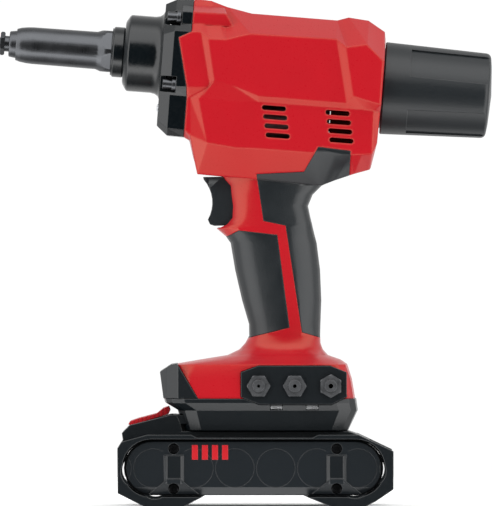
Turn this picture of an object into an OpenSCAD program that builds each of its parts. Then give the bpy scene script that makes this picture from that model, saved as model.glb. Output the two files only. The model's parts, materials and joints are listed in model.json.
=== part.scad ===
// Battery blind rivet tool: a tilted pulling head on a pistol grip, standing on a slide-on battery.
// Millimetres. +Z is up, the nose points along -X, the tool stands on Z = 0.
// The head is drawn in its own frame: origin on the pull axis at the flange, X rearwards along the axis.

/* [Head] */
// Tilt of the head's axis to the floor, nose up, in degrees
head_tilt = 4.35; // [0:0.05:6]
// Height of the pull axis above the floor, at the flange
axis_z = 252; // [246:0.5:258]
// Distance from the flange back to the origin of the handle, foot and battery
flange_x = -47; // [-50:0.5:-44]
// Length of the head, flange to rear face
head_len = 124; // [121:0.5:128]
// Height of the crown over the pull axis, at the front
crown_z = 32.6; // [31:0.1:35]
// Height of the waist over the pull axis
waist_z = 27; // [26:0.1:29]
// Half width of the head at its side panels
block_w = 33; // [32:0.1:36]
// Step from the front block out to the side panel, and from there out to the rear collar
panel_step = 2; // [0.5:0.1:3]
// Half width of the lower, motor storey
hip_w = 31; // [30:0.1:33]
// Thickness of the front housing's wall
casting_wall = 3; // [2.5:0.1:4]

/* [Nose] */
// Radius of the bell
bell_r = 21.4; // [20.5:0.1:24]
// Length of the bell in front of the flange
bell_len = 21.5; // [20:0.1:24]
// Radius of the steel sleeve
sleeve_r = 10.3; // [10:0.1:11]
// Length of the sleeve in front of the bell
sleeve_len = 64.5; // [62:0.5:70]
// Bore of the sleeve, radius
sleeve_bore_r = 9.1; // [8.6:0.05:9.3]
// Radius of the lock collar
collar_r = 14.1; // [13.5:0.1:16]
// Length of the lock collar
collar_len = 7; // [5:0.1:8]
// Mandrel bore of the nosepiece, radius
nose_bore_r = 1.7; // [1:0.05:2.2]
// Width across flats of the nosepiece
nose_flats = 11.5; // [10.5:0.1:12.5]
// Thread radius of the nosepiece
nose_thread_r = 4.9; // [4.2:0.1:5.2]

/* [Collector] */
// Distance that the collector's axis lies under the pull axis
collector_drop = 8.8; // [6:0.1:10]
// Length of the collector
collector_len = 61; // [50:0.5:70]
// Radius of the collector at its mouth
collector_r = 25.8; // [25:0.1:27]
// Radius of the collector at its end
collector_end_r = 23.6; // [22.5:0.1:25]
// Wall of the collector
collector_wall = 2.4; // [2:0.1:2.6]
// Turn that frees the bayonet, in degrees
bayonet_turn = 40; // [30:1:50]

/* [Drive] */
// Distance between the pull axis and the motor axis, under it
motor_drop = 33; // [33:1:33]
// Radius of the motor can
motor_r = 18.3; // [17:0.1:18.6]
// Room behind the motor for its fan, its bearing and the collector's socket
motor_rear = 28; // [27:0.5:32]
// Module of the final gear pair
final_module = 1.5; // [1.5:0.1:1.5]
// Teeth of the final pinion
pinion_teeth = 12; // [12:1:12]
// Module of the planetary stage
planet_module = 0.8; // [0.7:0.05:0.8]
// Teeth of the sun
sun_teeth = 12; // [12:1:12]
// Teeth of each planet
planet_teeth = 15; // [15:3:15]
// Backlash of each gear pair
backlash = 0.2; // [0.12:0.01:0.3]
// Radius of the ball screw
screw_r = 7; // [6.5:0.1:7.5]
// Bore of the ball screw, radius
screw_bore_r = 2.7; // [2.2:0.1:3.2]
// Radius of the ball nut
nut_r = 13; // [12:0.1:13.5]
// Stroke of the pull
stroke = 20; // [16:0.5:20]

/* [Handle] */
// Thickness of the rubber grip
grip_t = 1.8; // [1.4:0.1:2.2]
// Half width of the trigger
trigger_w = 9; // [7.5:0.1:10]
// Travel of the trigger
trigger_travel = 6; // [4:0.1:6]

/* [Foot] */
// Height of the dock's lower edge over the floor
dock_z = 42.4; // [42:0.1:43]
// Height of the joint between the foot and the dock
foot_z = 60.2; // [59.8:0.1:60.6]
// Half width of the foot
foot_w = 38.6; // [37.5:0.1:39.5]

/* [Battery] */
// Radius of a battery cell
cell_r = 10.6; // [9.2:0.1:10.7]
// Length of a battery cell
cell_len = 70; // [65:0.5:70]
// Distance between neighbouring cells
cell_pitch = 22.8; // [22.4:0.1:23]
// How far the bumpers stand out beyond the side covers
bumper_out = 3.4; // [3:0.1:5]
// Thickness of a bumper's bar
bumper_t = 3.6; // [3:0.1:4.2]
// Travel of the release button
button_travel = 3; // [2:0.1:3.2]

/* [Fits] */
// Gap between moving faces
run_gap = 0.3; // [0.2:0.05:0.4]
// Gap between fixed faces that show a seam
seam = 0.15; // [0.1:0.01:0.25]
// Radial gap of a shaft in its bush or bearing
shaft_gap = 0.05; // [0.03:0.01:0.08]

/* [Hidden] */
$fn = 48;

red = "crimson";
black = [0.13, 0.14, 0.15];
rubber = [0.25, 0.26, 0.28];
steel = [0.42, 0.44, 0.46];
bright = [0.72, 0.73, 0.74];
brass = [0.8, 0.65, 0.3];
copper = [0.75, 0.42, 0.22];
board_green = [0.1, 0.35, 0.2];

front_w = block_w - panel_step;
rear_w = block_w + panel_step;
nose_tip_x = -bell_len - sleeve_len - 6.2;
collector_x = head_len + 0.4;
collector_end_x = collector_x + collector_len;
// The whole tool is shifted so that its reach to the front equals its reach to the rear
reach_front = nose_tip_x * cos(head_tilt) - 2.7 * sin(head_tilt);
reach_rear = (collector_end_x - 1) * cos(head_tilt)
  + (collector_end_r - 7 - collector_drop) * sin(head_tilt);
centre_x = -flange_x - (reach_front + reach_rear) / 2;
ring_teeth = sun_teeth + 2 * planet_teeth;
sun_pitch_r = planet_module * sun_teeth / 2;
planet_pitch_r = planet_module * planet_teeth / 2;
planet_orbit_r = sun_pitch_r + planet_pitch_r;
ring_r = planet_module * ring_teeth / 2 + 2.7;
pinion_pitch_r = final_module * pinion_teeth / 2;
wheel_teeth = round(2 * motor_drop / final_module) - pinion_teeth;
wheel_pitch_r = final_module * wheel_teeth / 2;
joint_x = 15.6;

// Places

module stand() translate([centre_x, 0, 0]) children();

module in_head() stand() translate([flange_x, 0, axis_z]) rotate([0, head_tilt, 0]) children();

module at_motor() translate([0, 0, -motor_drop]) children();

module at_collector() translate([0, 0, -collector_drop]) children();

module right_side() mirror([0, 1, 0]) children();

module both_sides() {
  children();
  right_side() children();
}

// Shapes that repeat

module rod(x0, x1, r) translate([x0, 0, 0]) rotate([0, 90, 0]) cylinder(h = x1 - x0, r = r);

module pipe(x0, x1, outer, inner) difference() {
  rod(x0, x1, outer);
  rod(x0 - 1, x1 + 1, inner);
}

// A profile of [x, radius] points, turned round the X axis
module turned(profile) rotate([0, 90, 0]) rotate_extrude() polygon([for (p = profile) [p[1], p[0]]]);

// An outline of [x, z] points, extruded from y0 to y1
module plate(outline, y0, y1)
  translate([0, y1, 0]) rotate([90, 0, 0]) linear_extrude(height = y1 - y0) polygon(outline);

module block(x0, x1, y0, y1, z0, z1) translate([x0, y0, z0]) cube([x1 - x0, y1 - y0, z1 - z0]);

module post(x, z, r, y0, y1) translate([x, y1, z]) rotate([90, 0, 0]) cylinder(h = y1 - y0, r = r);

// Points of an arc in the plane, from angle a to angle b
function arc(centre, r, a, b, steps = 8) =
  [for (i = [0:steps]) centre + r * [cos(a + (b - a) * i / steps), sin(a + (b - a) * i / steps)]];

function stadium(x0, x1, z0, z1) =
  let (r = (z1 - z0) / 2, z = (z0 + z1) / 2)
  concat(arc([x1 - r, z], r, -90, 90, 14), arc([x0 + r, z], r, 90, 270, 14));

function mean(points) = [for (k = [0:2])
  let (v = [for (p = points) p[k]])
  v * [for (p = points) 1 / len(points)]];

// A skin over rings of points, every ring with as many points, closed at both ends
module loft(rings) {
  n = len(rings[0]);
  m = len(rings);
  points = concat([for (r = rings) each r], [mean(rings[0]), mean(rings[m - 1])]);
  sides = [for (i = [0:m - 2], j = [0:n - 1])
    let (a = i * n + j, b = i * n + (j + 1) % n) each [[a, b + n, b], [a, a + n, b + n]]];
  ends = [for (j = [0:n - 1])
    each [[m * n, j, (j + 1) % n], [m * n + 1, (m - 1) * n + (j + 1) % n, (m - 1) * n + j]]];
  polyhedron(points, concat(sides, ends));
}

// A coil spring along X: one round wire, its ends squared off by a flat turn
module coil(x0, x1, r, wire_r, turns, name) {
  steps = 8;
  sides = 6;
  count = turns * steps;
  line = [for (i = [0:count]) let (a = i * 360 / steps)
    [x0 + wire_r + (x1 - x0 - 2 * wire_r) * i / count, r * cos(a), r * sin(a)]];
  gaps = [for (i = [0:count]) for (j = [0:i - 1]) if (i - j > steps / 2)
    norm(line[i] - line[j]) - 2 * wire_r];
  echo(str("Least gap of the ", name, " spring to itself: ", min(gaps), " mm"));
  rings = [for (i = [0:count])
    let (a = i * 360 / steps, x = x0 + wire_r + (x1 - x0 - 2 * wire_r) * i / count)
    [for (k = [0:sides - 1]) let (b = -k * 360 / sides, q = r + wire_r * cos(b))
      [x + wire_r * sin(b), q * cos(a), q * sin(a)]]];
  loft(rings);
}

// Involute gears

pressure = 25;
addendum = 0.9;
dedendum = 1.2;

function involute(angle) = tan(angle) * 180 / PI - angle;

// Half the angle that a tooth covers at radius r
function half_tooth(m, teeth, r, thin) =
  let (pitch_r = m * teeth / 2, base_r = pitch_r * cos(pressure))
  90 / teeth - thin / (2 * pitch_r) * 180 / PI + involute(pressure)
  - (r > base_r ? involute(acos(base_r / r)) : 0);

function gear_outline(m, teeth, thin, tip = addendum, root = dedendum) =
  let (
    pitch_r = m * teeth / 2,
    low = pitch_r - root * m,
    radii = [for (i = [0:4]) low + (tip + root) * m * i / 4]
  )
  [for (t = [0:teeth - 1]) each concat(
    [for (r = radii) let (a = t * 360 / teeth - half_tooth(m, teeth, r, thin)) r * [cos(a), sin(a)]],
    [for (i = [4:-1:0]) let (r = radii[i], a = t * 360 / teeth + half_tooth(m, teeth, r, thin))
      r * [cos(a), sin(a)]]
  )];

module gear(x0, x1, m, teeth, turn = 0)
  translate([x0, 0, 0]) rotate([0, 90, 0]) rotate([0, 0, turn])
    linear_extrude(height = x1 - x0) polygon(gear_outline(m, teeth, backlash / 2));

// The moulded body: half of a lofted head, and half of a lofted handle and foot

// One half section of the head, from its crown down its side to its keel.
// x1 to x4 set the sill, the hip, the belly and the keel before or behind the crown.
function section(x, x1 = undef, x2 = undef, x3 = undef, x4 = undef, top = waist_z, crown = 12,
                 shoulder = 15.5, side = block_w, sill = -19, hip = -22.2, low_w = hip_w,
                 belly = -48, keel = -65, keel_w = 19) =
  let (a = is_undef(x1) ? x : x1, b = is_undef(x2) ? a : x2, c = is_undef(x3) ? x : x3,
       d = is_undef(x4) ? c : x4)
  [[x, 0, top], [x, crown, top], [x, side, shoulder], [a, side, sill], [b, low_w, hip],
   [c, low_w, belly], [d, keel_w, keel], [d, 0, keel]];

head_sections = [
  section(0, top = crown_z - 4, shoulder = 11.5, side = front_w - 4.6, sill = -17.5, hip = -21.5,
          low_w = hip_w - 6, belly = -36.5, keel = -39.6, keel_w = 20),
  section(6, top = crown_z - 1, crown = 13, shoulder = 13.6, side = front_w, sill = -17, hip = -22,
          low_w = hip_w - 2.6, belly = -40.6, keel = -44.6, keel_w = 22),
  section(joint_x, top = crown_z - 0.2, crown = 13, shoulder = 14, side = front_w, sill = -16.5,
          hip = -22.2, low_w = hip_w - 2.4, belly = -41, keel = -44.8, keel_w = 22),
  section(20.7, x1 = 28.1, x2 = 17.4, x3 = 18.8, x4 = 18.9, top = crown_z, crown = 13, shoulder = 14.2,
          side = front_w, sill = -15.6, hip = -22.6, low_w = hip_w - 2.3, belly = -43.6, keel = -46.4,
          keel_w = 21.5),
  section(25.3, x1 = 30.1, x2 = 22.3, x3 = 28.9, x4 = 24.6, top = crown_z - 0.3, crown = 13,
          shoulder = 10.6, sill = -11.8, hip = -22.7, belly = -47, keel = -64.8),
  section(34.3, x1 = 40.1, x2 = 43.2, x3 = 45.1, x4 = 38, top = waist_z + 2.6, crown = 12.5,
          shoulder = 10.9, sill = -13.8, hip = -23.4, belly = -48.5),
  section(48.2, x1 = 55.5, x3 = 58, x4 = 52, shoulder = 15.3),
  section(head_len - 27.8, x1 = head_len - 19.6, x3 = head_len - 24, x4 = head_len - 30,
          top = waist_z - 0.2, shoulder = 16, sill = -19.2, keel = -66),
  section(head_len - 21.6, x1 = head_len - 15.6, x3 = head_len - 14.7, x4 = head_len - 22,
          top = waist_z + 1.9, shoulder = 11.8, side = rear_w, sill = -15, belly = -47.6, keel = -62.2),
  section(head_len - 10.4, x1 = head_len - 8, x3 = head_len - 8, x4 = head_len - 12, top = waist_z + 1,
          crown = 11, shoulder = 14.2, side = rear_w, sill = -16.8, belly = -47, keel = -58, keel_w = 18),
  section(head_len - 0.8, x1 = head_len - 0.6, x2 = head_len - 3.8, x3 = head_len - 3,
          x4 = head_len - 3.6, top = waist_z - 4.6, crown = 9, shoulder = 6, side = rear_w - 0.3,
          sill = -18.4, hip = -22.4, low_w = hip_w - 0.2, belly = -46.4, keel = -55, keel_w = 16),
  section(head_len, x2 = head_len - 0.2, x3 = head_len - 0.6, x4 = head_len - 3, top = waist_z - 9,
          crown = 8, shoulder = 5.6, side = rear_w - 1.4, sill = -18.2, hip = -22.6, low_w = hip_w - 3,
          belly = -40, keel = -54, keel_w = 14.5)
];

// The half of a head section on the side of -Y
function left_section(s) = [for (p = s) [p[0], -p[1], p[2]]];

// A whole head section, round both sides
function whole_section(s) = concat(left_section(s), [for (i = [6:-1:1]) s[i]]);

module head_form(first = 0, last = 11)
  loft([for (i = [first:last]) whole_section(head_sections[i])]);

// The upper screw boss on one shoulder of the head
module shoulder_boss() loft([
  [[9.6, -8, 27], [9.6, -16.5, 28.9], [9.6, -27, 24.9], [9.6, -27, 18.2], [9.6, -8, 18]],
  [[32.8, -8, 27], [32.8, -16.3, 28.9], [34.4, -26.4, 25.4], [38.9, -25.4, 18.4], [36, -8, 18]]
]);

// Heights of the handle and foot with their front, back, half width and squareness
handle_rings = [
  [200, -10, 52, 19, 3],
  [186, -15.5, 58, 18.5, 3],
  [182.3, -13.8, 49.4, 18, 2.8],
  [179, -11, 42.2, 17.5, 2.7],
  [174, -9.3, 37.2, 17.2, 3.2],
  [167.7, -8.4, 34.6, 17, 3.2],
  [161, -8.6, 36, 17, 3.6],
  [157.5, -11.6, 36.9, 17, 3.6],
  [155.2, -16.7, 37.4, 17, 3.2],
  [150.8, -11.5, 38.5, 17.2, 2.8],
  [147, -8.8, 39.5, 17.5, 2.5],
  [132, -6.3, 41.4, 18, 2.5],
  [115, -2.4, 42.1, 18.3, 2.5],
  [101.6, 1.5, 41.6, 18, 2.5],
  [95, 1.6, 41.4, 18, 2.5],
  [91, -0.6, 41.6, 18.5, 2.6],
  [87.5, -3.8, 42.9, 20, 2.8],
  [84.3, -10.5, 45.8, 24, 3.2],
  [81.8, -26, 53, foot_w - 6.6, 4.5],
  [79.2, -41.2, 56.6, foot_w - 2.2, 6],
  [71, -43.2, 59.2, foot_w - 0.6, 7],
  [foot_z, -45.6, 61, foot_w, 7]
];

function power(v, n) = sign(v) * pow(abs(v), 2 / n);

// Points of a rounded half section on the side of -Y, from its front to its back
function handle_ring(h, steps = 8) =
  let (x = (h[1] + h[2]) / 2, reach = (h[2] - h[1]) / 2)
  [for (i = [0:steps]) let (a = 180 * i / steps)
    [x - reach * power(cos(a), h[4]), i == 0 || i == steps ? 0 : -h[3] * power(sin(a), h[4]), h[0]]];

function whole_ring(h, steps = 8) =
  let (half = handle_ring(h, steps))
  concat(half, [for (i = [steps - 1:-1:1]) [half[i][0], -half[i][1], half[i][2]]]);

module handle_form(low = 0, high = 300) {
  rings = [for (h = handle_rings) if (h[0] >= low && h[0] <= high) h];
  loft([for (i = [len(rings) - 1:-1:0]) whole_ring(rings[i])]);
}

// The core that the rubber lies on: a slimmer handle, under the grips only
core_rings = [
  [206, 0, 55, 28.5, 4],
  [186, 2, 51, 16.4, 3],
  [176, 2, 36.6, 17.2 - grip_t, 2.8],
  [167.7, 0, 34.6 - grip_t, 17 - grip_t, 2.7],
  [150, -6, 38.6 - grip_t, 17 - grip_t, 2.6],
  [132, -6.3 + grip_t, 41.4 - grip_t, 18 - grip_t, 2.5],
  [101.6, 1.5 + grip_t, 41.6 - grip_t, 18 - grip_t, 2.5],
  [88, 1.5 + grip_t, 41.2 - grip_t, 18 - grip_t, 2.5]
];

module core(d) stand() loft([for (i = [len(core_rings) - 1:-1:0])
  let (h = core_rings[i]) whole_ring([h[0], h[1] + d, h[2] - d, h[3] - d, h[4]], 6)]);

// Seams between the front housing and the shells, in the head's frame
function front_seam(gap) = [
  [-30, 60], [joint_x - gap, 60], [joint_x - gap, 14.2], [8.6 - gap, 10.4], [joint_x - 0.6 - gap, -16.5],
  [joint_x - gap, -22.7], [joint_x - gap, -80], [-30, -80]
];

// Outlines of the rubber grips, in the plane of the handle
rear_grip_outline = [
  [40.2, 200.6], [58.2, 198.4], [57.4, 180], [90, 180], [90, 93], [41.3, 94.1], [31.1, 97], [22, 156.7],
  [9.6, 159.3], [5.7, 185.5], [32.2, 186.8]
];
front_grip_outline = [
  [-30, 146.5], [-9.8, 151.1], [-4.3, 154], [17.3, 151.6], [24.2, 99.7], [1.9, 94.1], [-30, 90]
];
cap_outline = [[-80, 84], [-38.3, 84], [-38.3, 79.5], [-35.1, 74.4], [-26.7, foot_z], [-26.7, 40], [-80, 40]];

// A slab of the left half under an outline, from outside to the middle plane
module under(outline) stand() plate(outline, -60, 1);

vent_rows = 4;
vent_pitch = 5.05;
vent_len = 13.4;
vent_h = 2.6;
vent_slant = 1.1;
vent_groups = [57.8, head_len - 30.6];
vent_top = -25;

module vents() in_head()
  for (x = vent_groups, i = [0:vent_rows - 1])
    translate([x + i * vent_slant, 0, vent_top - i * vent_pitch])
      plate(stadium(0, vent_len, -vent_h / 2, vent_h / 2), -60, -motor_r + 2);

screw_r_clear = 1.75;
screw_head_r = 3;
// Places of the housing screws: three in the head's frame, three in the handle and foot
head_screws = [[62, 20.5], [head_len - 24, 20], [head_len - 9.5, -47]];
handle_screws = [[25, 87], [-29, 72], [54, 72]];

module at_screws() {
  for (p = head_screws) in_head() translate([p[0], 0, p[1]]) children();
  for (p = handle_screws) stand() translate([p[0], 0, p[1]]) children();
}

bearing_r = 8;
rail_y = 18;
rail_h = 9;
socket_r = 22.4;
socket_flange_r = 25;
trigger_back = -6;
trigger_room = trigger_back + trigger_travel + 2;
trigger_hole = [[-60, 184.5], [trigger_room, 184.5], [trigger_room, 155.7], [-60, 155.7]];
seat = 0.15;
motor_x0 = 44;
motor_x1 = head_len - motor_rear;
motor_ribs = [motor_x0 + 4, motor_x1 - 10];
guide_x = 57;
guide_len = 11;
rail_x1 = guide_x + guide_len + stroke + 6;
fan_r = motor_r - 4;
fan_x = motor_x1 + 1.2;
fan_len = 4.6;
rib_t = 3;
chamber_r = motor_r + 4;

// Room in the head for the drive: seats that fit it, chambers round what turns
module head_chambers() {
  rod(0, joint_x + 0.1, wheel_pitch_r + 2.3);
  rod(joint_x - 1, case_x1 + seat, nut_bearing_r + 2.8 + seat);
  reducer_form(0, case_x1 + 1, seat);
  at_motor() rod(0, case_x0 + 1, pinion_pitch_r + 2.2);
  block(0, case_x1 + seat, -13 - seat, 1, -motor_drop, 0);
  block(case_x1 - 1, rail_x1 + seat, -rail_y - seat, 1, -rail_h - seat, rail_h + seat);
  rod(case_x1 - 1, rail_x1 + 1, rail_h + 1);
  rod(rail_x1, head_len, tube_r + 1.5);
  at_motor() {
    rod(case_x1, motor_ribs[0], chamber_r);
    rod(case_x1, motor_ribs[1] + rib_t + 1, motor_r + seat);
    rod(motor_ribs[0] + rib_t, motor_ribs[1], chamber_r);
    rod(motor_ribs[1] + rib_t, motor_x1 + 0.5, chamber_r);
    rod(motor_x1, fan_x + fan_len + 0.8, fan_r + 0.9);
    rod(motor_x1, rear_bearing_x - 1, shaft_r + 1.5);
    rod(rear_bearing_x - 2, rear_bearing_x + 5, bearing_r + seat);
  }
  at_collector() {
    rod(head_len - 8, head_len + 9, socket_r + seat);
    rod(head_len - 8, head_len - 4.2, socket_flange_r + seat);
  }
}

// Room in the handle and foot for the switch, the wires and the board
module handle_chambers() {
  plate(trigger_hole, -trigger_w - run_gap, 1);
  block(1, switch_x + switch_len + seat, -9 - seat, 1, 156 - seat, 178 + seat);
  block(8, 18, -5, 1, 70, 160);
  block(-24, 48, -foot_w + 6.6, 1, 50, 77);
}

module shell_half() difference() {
  intersection() {
    union() {
      in_head() {
        head_form();
        shoulder_boss();
      }
      stand() handle_form();
    }
    block(-300, 300, -100, 0, 0, 400);
  }
  difference() {
    union() {
      under(rear_grip_outline);
      under(front_grip_outline);
    }
    core(0);
  }
  in_head() plate(front_seam(0), -60, 1);
  under(cap_outline);
  vents();
  in_head() head_chambers();
  stand() handle_chambers();
}

module housing_left() color(red) difference() {
  shell_half();
  at_screws() post(0, 0, screw_r_clear - 0.5, -12, 1);
  stand() plate(rack_outline(seam), -60, rack_back);
  stand() for (x = rack_x) post(x, rack_z, nose_thread_r + 1, -60, -20);
}

module housing_right() color(red) right_side() difference() {
  shell_half();
  at_screws() post(0, 0, screw_r_clear, -60, 1);
  at_screws() post(0, 0, screw_head_r + 0.2, -60, -9);
}

module housing_screws() color(bright) right_side() at_screws() {
  post(0, 0, screw_head_r, -11.5, -9.02);
  post(0, 0, screw_r_clear - 0.15, -9.5, -0.2);
  post(0, 0, screw_r_clear - 0.6, -0.5, 10);
}

module grip(outline) color(rubber) difference() {
  intersection() {
    children();
    stand() plate(outline, -60, 0);
  }
  core(-seam);
}

module front_grip() grip(front_grip_outline) stand() handle_form(80, 160);

module rear_grip() grip(rear_grip_outline) {
  stand() handle_form(80, 210);
  in_head() head_form(5, 10);
}

module grip_front_left() front_grip();

module grip_front_right() right_side() front_grip();

module grip_rear_left() rear_grip();

module grip_rear_right() right_side() rear_grip();

// Front housing, bell and nose

pocket_len = 9;
front_screw_z = [21.5, -16];
front_screw_y = [23.2, 27];
front_screw_head_r = 3.3;

module front_screw_pockets() for (i = [0, 1]) both_sides()
  block(-1, pocket_len, -60, -front_screw_y[i] + 3.9, front_screw_z[i] - 4.4, front_screw_z[i] + 4.4);

module front_housing() color(black) in_head() difference() {
  intersection() {
    union() {
      head_form(0, 2);
      both_sides() shoulder_boss();
    }
    plate(front_seam(seam), -60, 60);
  }
  rod(-1, 30, nut_r + 1);
  rod(casting_wall, 30, wheel_pitch_r + 2.3);
  at_motor() rod(casting_wall, 30, pinion_pitch_r + 2.2);
  at_motor() rod(pilot_x - 0.2, 10, pilot_r + shaft_gap);
  front_screw_pockets();
  for (i = [0, 1]) both_sides() translate([0, -front_screw_y[i], front_screw_z[i]]) rod(0, 30, 2.2);
  translate([0, 0, light_z]) rod(-1, 0.7, light_r + 0.1);
}

pilot_r = 4;
pilot_x = 1.6;
light_z = -29.5;
light_r = 2.6;

module work_light_lens() color("white") in_head() translate([0, 0, light_z])
  turned([[-1, 0], [-1, light_r - 1.2], [-0.4, light_r - 0.4], [0.1, light_r], [0.65, light_r], [0.65, 0]]);

module front_screws() color(bright) in_head()
  for (i = [0, 1]) both_sides() translate([0, -front_screw_y[i], front_screw_z[i]]) difference() {
    union() {
      rod(pocket_len - 5.5, pocket_len - 0.02, front_screw_head_r);
      rod(pocket_len - 0.5, joint_x - 2, 2);
    }
    rod(pocket_len - 6, pocket_len - 3, 1.7);
  }

bell_bore_r = 9.5;
thrust_r = 17.6;
thrust_len = 7.5;

module bell() color(black) in_head() difference() {
  turned([
    [-bell_len, 0], [-bell_len, bell_r - 4.8], [-bell_len + 0.4, bell_r - 3.6],
    [-bell_len + 2.2, bell_r - 0.7], [-bell_len + 3.2, bell_r], [-5, bell_r], [-2.6, bell_r + 0.5],
    [-1, bell_r + 1.6],
    [-seam, bell_r + 3.2],
    [-seam, 0]
  ]);
  rod(-bell_len - 1, 1, bell_bore_r);
  rod(-thrust_len - 1.5, 1, nut_r + 0.6);
  rod(-thrust_len - 0.5, 1, thrust_r + shaft_gap);
}

spigot_r = 11.2;

module lock_collar() color(black) in_head() difference() {
  turned([
    [-bell_len - collar_len, 0], [-bell_len - collar_len, collar_r - 0.9],
    [-bell_len - collar_len + 0.8, collar_r - 0.9],
    [-bell_len - collar_len + 0.8, collar_r - 0.4], [-bell_len - collar_len + 1.3, collar_r],
    [-bell_len - 0.6, collar_r], [-bell_len - 0.02, collar_r - 0.5], [-bell_len - 0.02, 0]
  ]);
  rod(-bell_len - collar_len - 1, -bell_len + 1, spigot_r + 0.1);
}

hex_flats = 23;

// The steel sleeve: a round nose, a long barrel and a hexagon flare for the wrench, on a spigot
module sleeve() color(steel) in_head() {
  front = -bell_len - sleeve_len;
  rear = -bell_len - collar_len - 0.05;
  difference() {
    union() {
      turned([
        [front, 0], [front, sleeve_r - 3.5], [front + 0.6, sleeve_r - 3.1], [front + 4, sleeve_r - 2.6],
        [front + 4, sleeve_r - 1.5], [front + 6.5, sleeve_r - 0.7], [front + 10, sleeve_r - 0.2],
        [front + 13, sleeve_r], [rear - 8.4, sleeve_r + 0.2], [rear - 8.4, 0]
      ]);
      intersection() {
        turned([[rear - 8.5, 0], [rear - 8.5, sleeve_r + 0.2], [rear - 2.8, sleeve_r + 2.2],
                [rear, sleeve_r + 2.2], [rear, 0]]);
        translate([rear - 9, 0, 0]) rotate([0, 90, 0]) rotate([0, 0, 30])
          cylinder(h = 10, r = hex_flats / sqrt(3), $fn = 6);
      }
      rod(rear - 0.5, -bell_len - 0.05, spigot_r);
    }
    rod(front + 12, 1, sleeve_bore_r);
    rod(front - 1, front + 14, nose_thread_r + shaft_gap);
  }
}

module hexagon(x0, x1, turn) translate([x0, 0, 0]) rotate([0, 90, 0]) rotate([0, 0, turn])
  cylinder(h = x1 - x0, r = nose_flats / sqrt(3), $fn = 6);

// A nosepiece along X, its tip at the origin
module nosepiece_form(turn, bore_r, tip_r) difference() {
  union() {
    turned([[0, 0], [0, tip_r], [0.3, tip_r + 0.3], [1.4, tip_r + 0.9], [1.4, 0]]);
    intersection() {
      hexagon(1.2, 3.8, turn);
      turned([[1, 0], [1, nose_flats / 2], [1.8, nose_flats / 2 + 0.8], [3.2, nose_flats / 2 + 0.8],
              [4, nose_flats / 2], [4, 0]]);
    }
    rod(3.5, 6.4, nose_thread_r - 0.5);
    rod(6.2, 16.2, nose_thread_r);
  }
  rod(-1, 20, bore_r);
}

module nosepiece() color(black) in_head() translate([nose_tip_x, 0, 0]) nosepiece_form(0, nose_bore_r, 2.7);

// Pulling mechanism

jaw_x0 = nose_tip_x + 18.6;
jaw_len = 38;
jaw_r = sleeve_bore_r - run_gap;
jaw_cone = [[jaw_x0 - 1, 4.6], [jaw_x0 + 2, 4.6], [jaw_x0 + 16, 7.4], [jaw_x0 + 30, 7.4]];

module jaw_housing() color(bright) in_head() difference() {
  turned([[jaw_x0, 0], [jaw_x0, jaw_r - 1.4], [jaw_x0 + 1.4, jaw_r],
          [jaw_x0 + jaw_len, jaw_r], [jaw_x0 + jaw_len, 0]]);
  turned(concat([[jaw_x0 - 1, 0]], jaw_cone, [[jaw_x0 + 30, 0]]));
  rod(jaw_x0 + 28, jaw_x0 + jaw_len + 1, screw_r + seam);
}

// Three wedge jaws round the mandrel
module jaws() color(steel) in_head() for (a = [0, 120, 240]) rotate([a, 0, 0]) difference() {
  intersection() {
    turned([[jaw_x0 + 1.6, 0], [jaw_x0 + 1.6, 4.2], [jaw_x0 + 2.2, 4.35],
            [jaw_x0 + 14, 6.7], [jaw_x0 + 14, 0]]);
    plate([[jaw_x0, 0.6], [jaw_x0 + 20, 0.6], [jaw_x0 + 20, 9], [jaw_x0, 9]], -20, 20);
    rotate([-60, 0, 0]) block(jaw_x0, jaw_x0 + 20, -20, -0.3, -20, 20);
    rotate([60, 0, 0]) block(jaw_x0, jaw_x0 + 20, 0.3, 20, -20, 20);
  }
  rod(jaw_x0, jaw_x0 + 20, 1.9);
}

pusher_x = jaw_x0 + 14.3;

module jaw_pusher() color(bright) in_head() difference() {
  turned([[pusher_x, 0], [pusher_x, 5.2], [pusher_x + 2.2, 6.9], [pusher_x + 4, 6.9], [pusher_x + 4, 4.4],
          [pusher_x + 8, 4.4], [pusher_x + 8, 0]]);
  rod(pusher_x - 1, pusher_x + 9, screw_bore_r);
}

module jaw_spring() color(bright) in_head() coil(pusher_x + 4.2, jaw_x0 + 29.8, 5.8, 0.7, 5, "jaw");

spindle_x0 = jaw_x0 + 30;
spindle_x1 = 72;

module spindle() color(bright) in_head() difference() {
  turned([[spindle_x0, 0], [spindle_x0, screw_r - 0.5], [spindle_x0 + 0.5, screw_r],
          [spindle_x1 - 0.5, screw_r],
          [spindle_x1, screw_r - 0.5], [spindle_x1, 0]]);
  rod(spindle_x0 - 1, spindle_x1 + 1, screw_bore_r);
}

guide_h = 5;

module guide_block() color(steel) in_head() difference() {
  union() {
    block(guide_x, guide_x + guide_len, -rail_y + 3.6, rail_y - 3.6, -guide_h, guide_h);
    rod(guide_x, guide_x + guide_len, screw_r + 2.5);
  }
  rod(guide_x - 1, guide_x + guide_len + 1, screw_r + 0.02);
}

module guide_rails() color(bright) in_head() both_sides() difference() {
  block(guide_x - 4, rail_x1, -rail_y, -rail_y + 6, -rail_h, rail_h);
  block(0, 200, -rail_y + 3.6 - run_gap, 0, -guide_h - run_gap, guide_h + run_gap);
}

nut_x0 = -thrust_len - 1;
nut_x1 = 42;

module ball_nut() color(steel) in_head() difference() {
  union() {
    rod(nut_x0, nut_x1, nut_r);
    rod(0.4, wheel_x - 0.02, nut_r + 0.6);
  }
  rod(nut_x0 - 1, nut_x1 + 1, screw_r + shaft_gap);
}

wheel_x = 4;
wheel_t = 8;

module drive_gear() color(bright) in_head() difference() {
  gear(wheel_x, wheel_x + wheel_t, final_module, wheel_teeth);
  rod(0, 30, nut_r + 0.02);
}

nut_bearing_r = 18;
nut_bearing_x = 34.8;
nut_bearing_t = 6.5;

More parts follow.
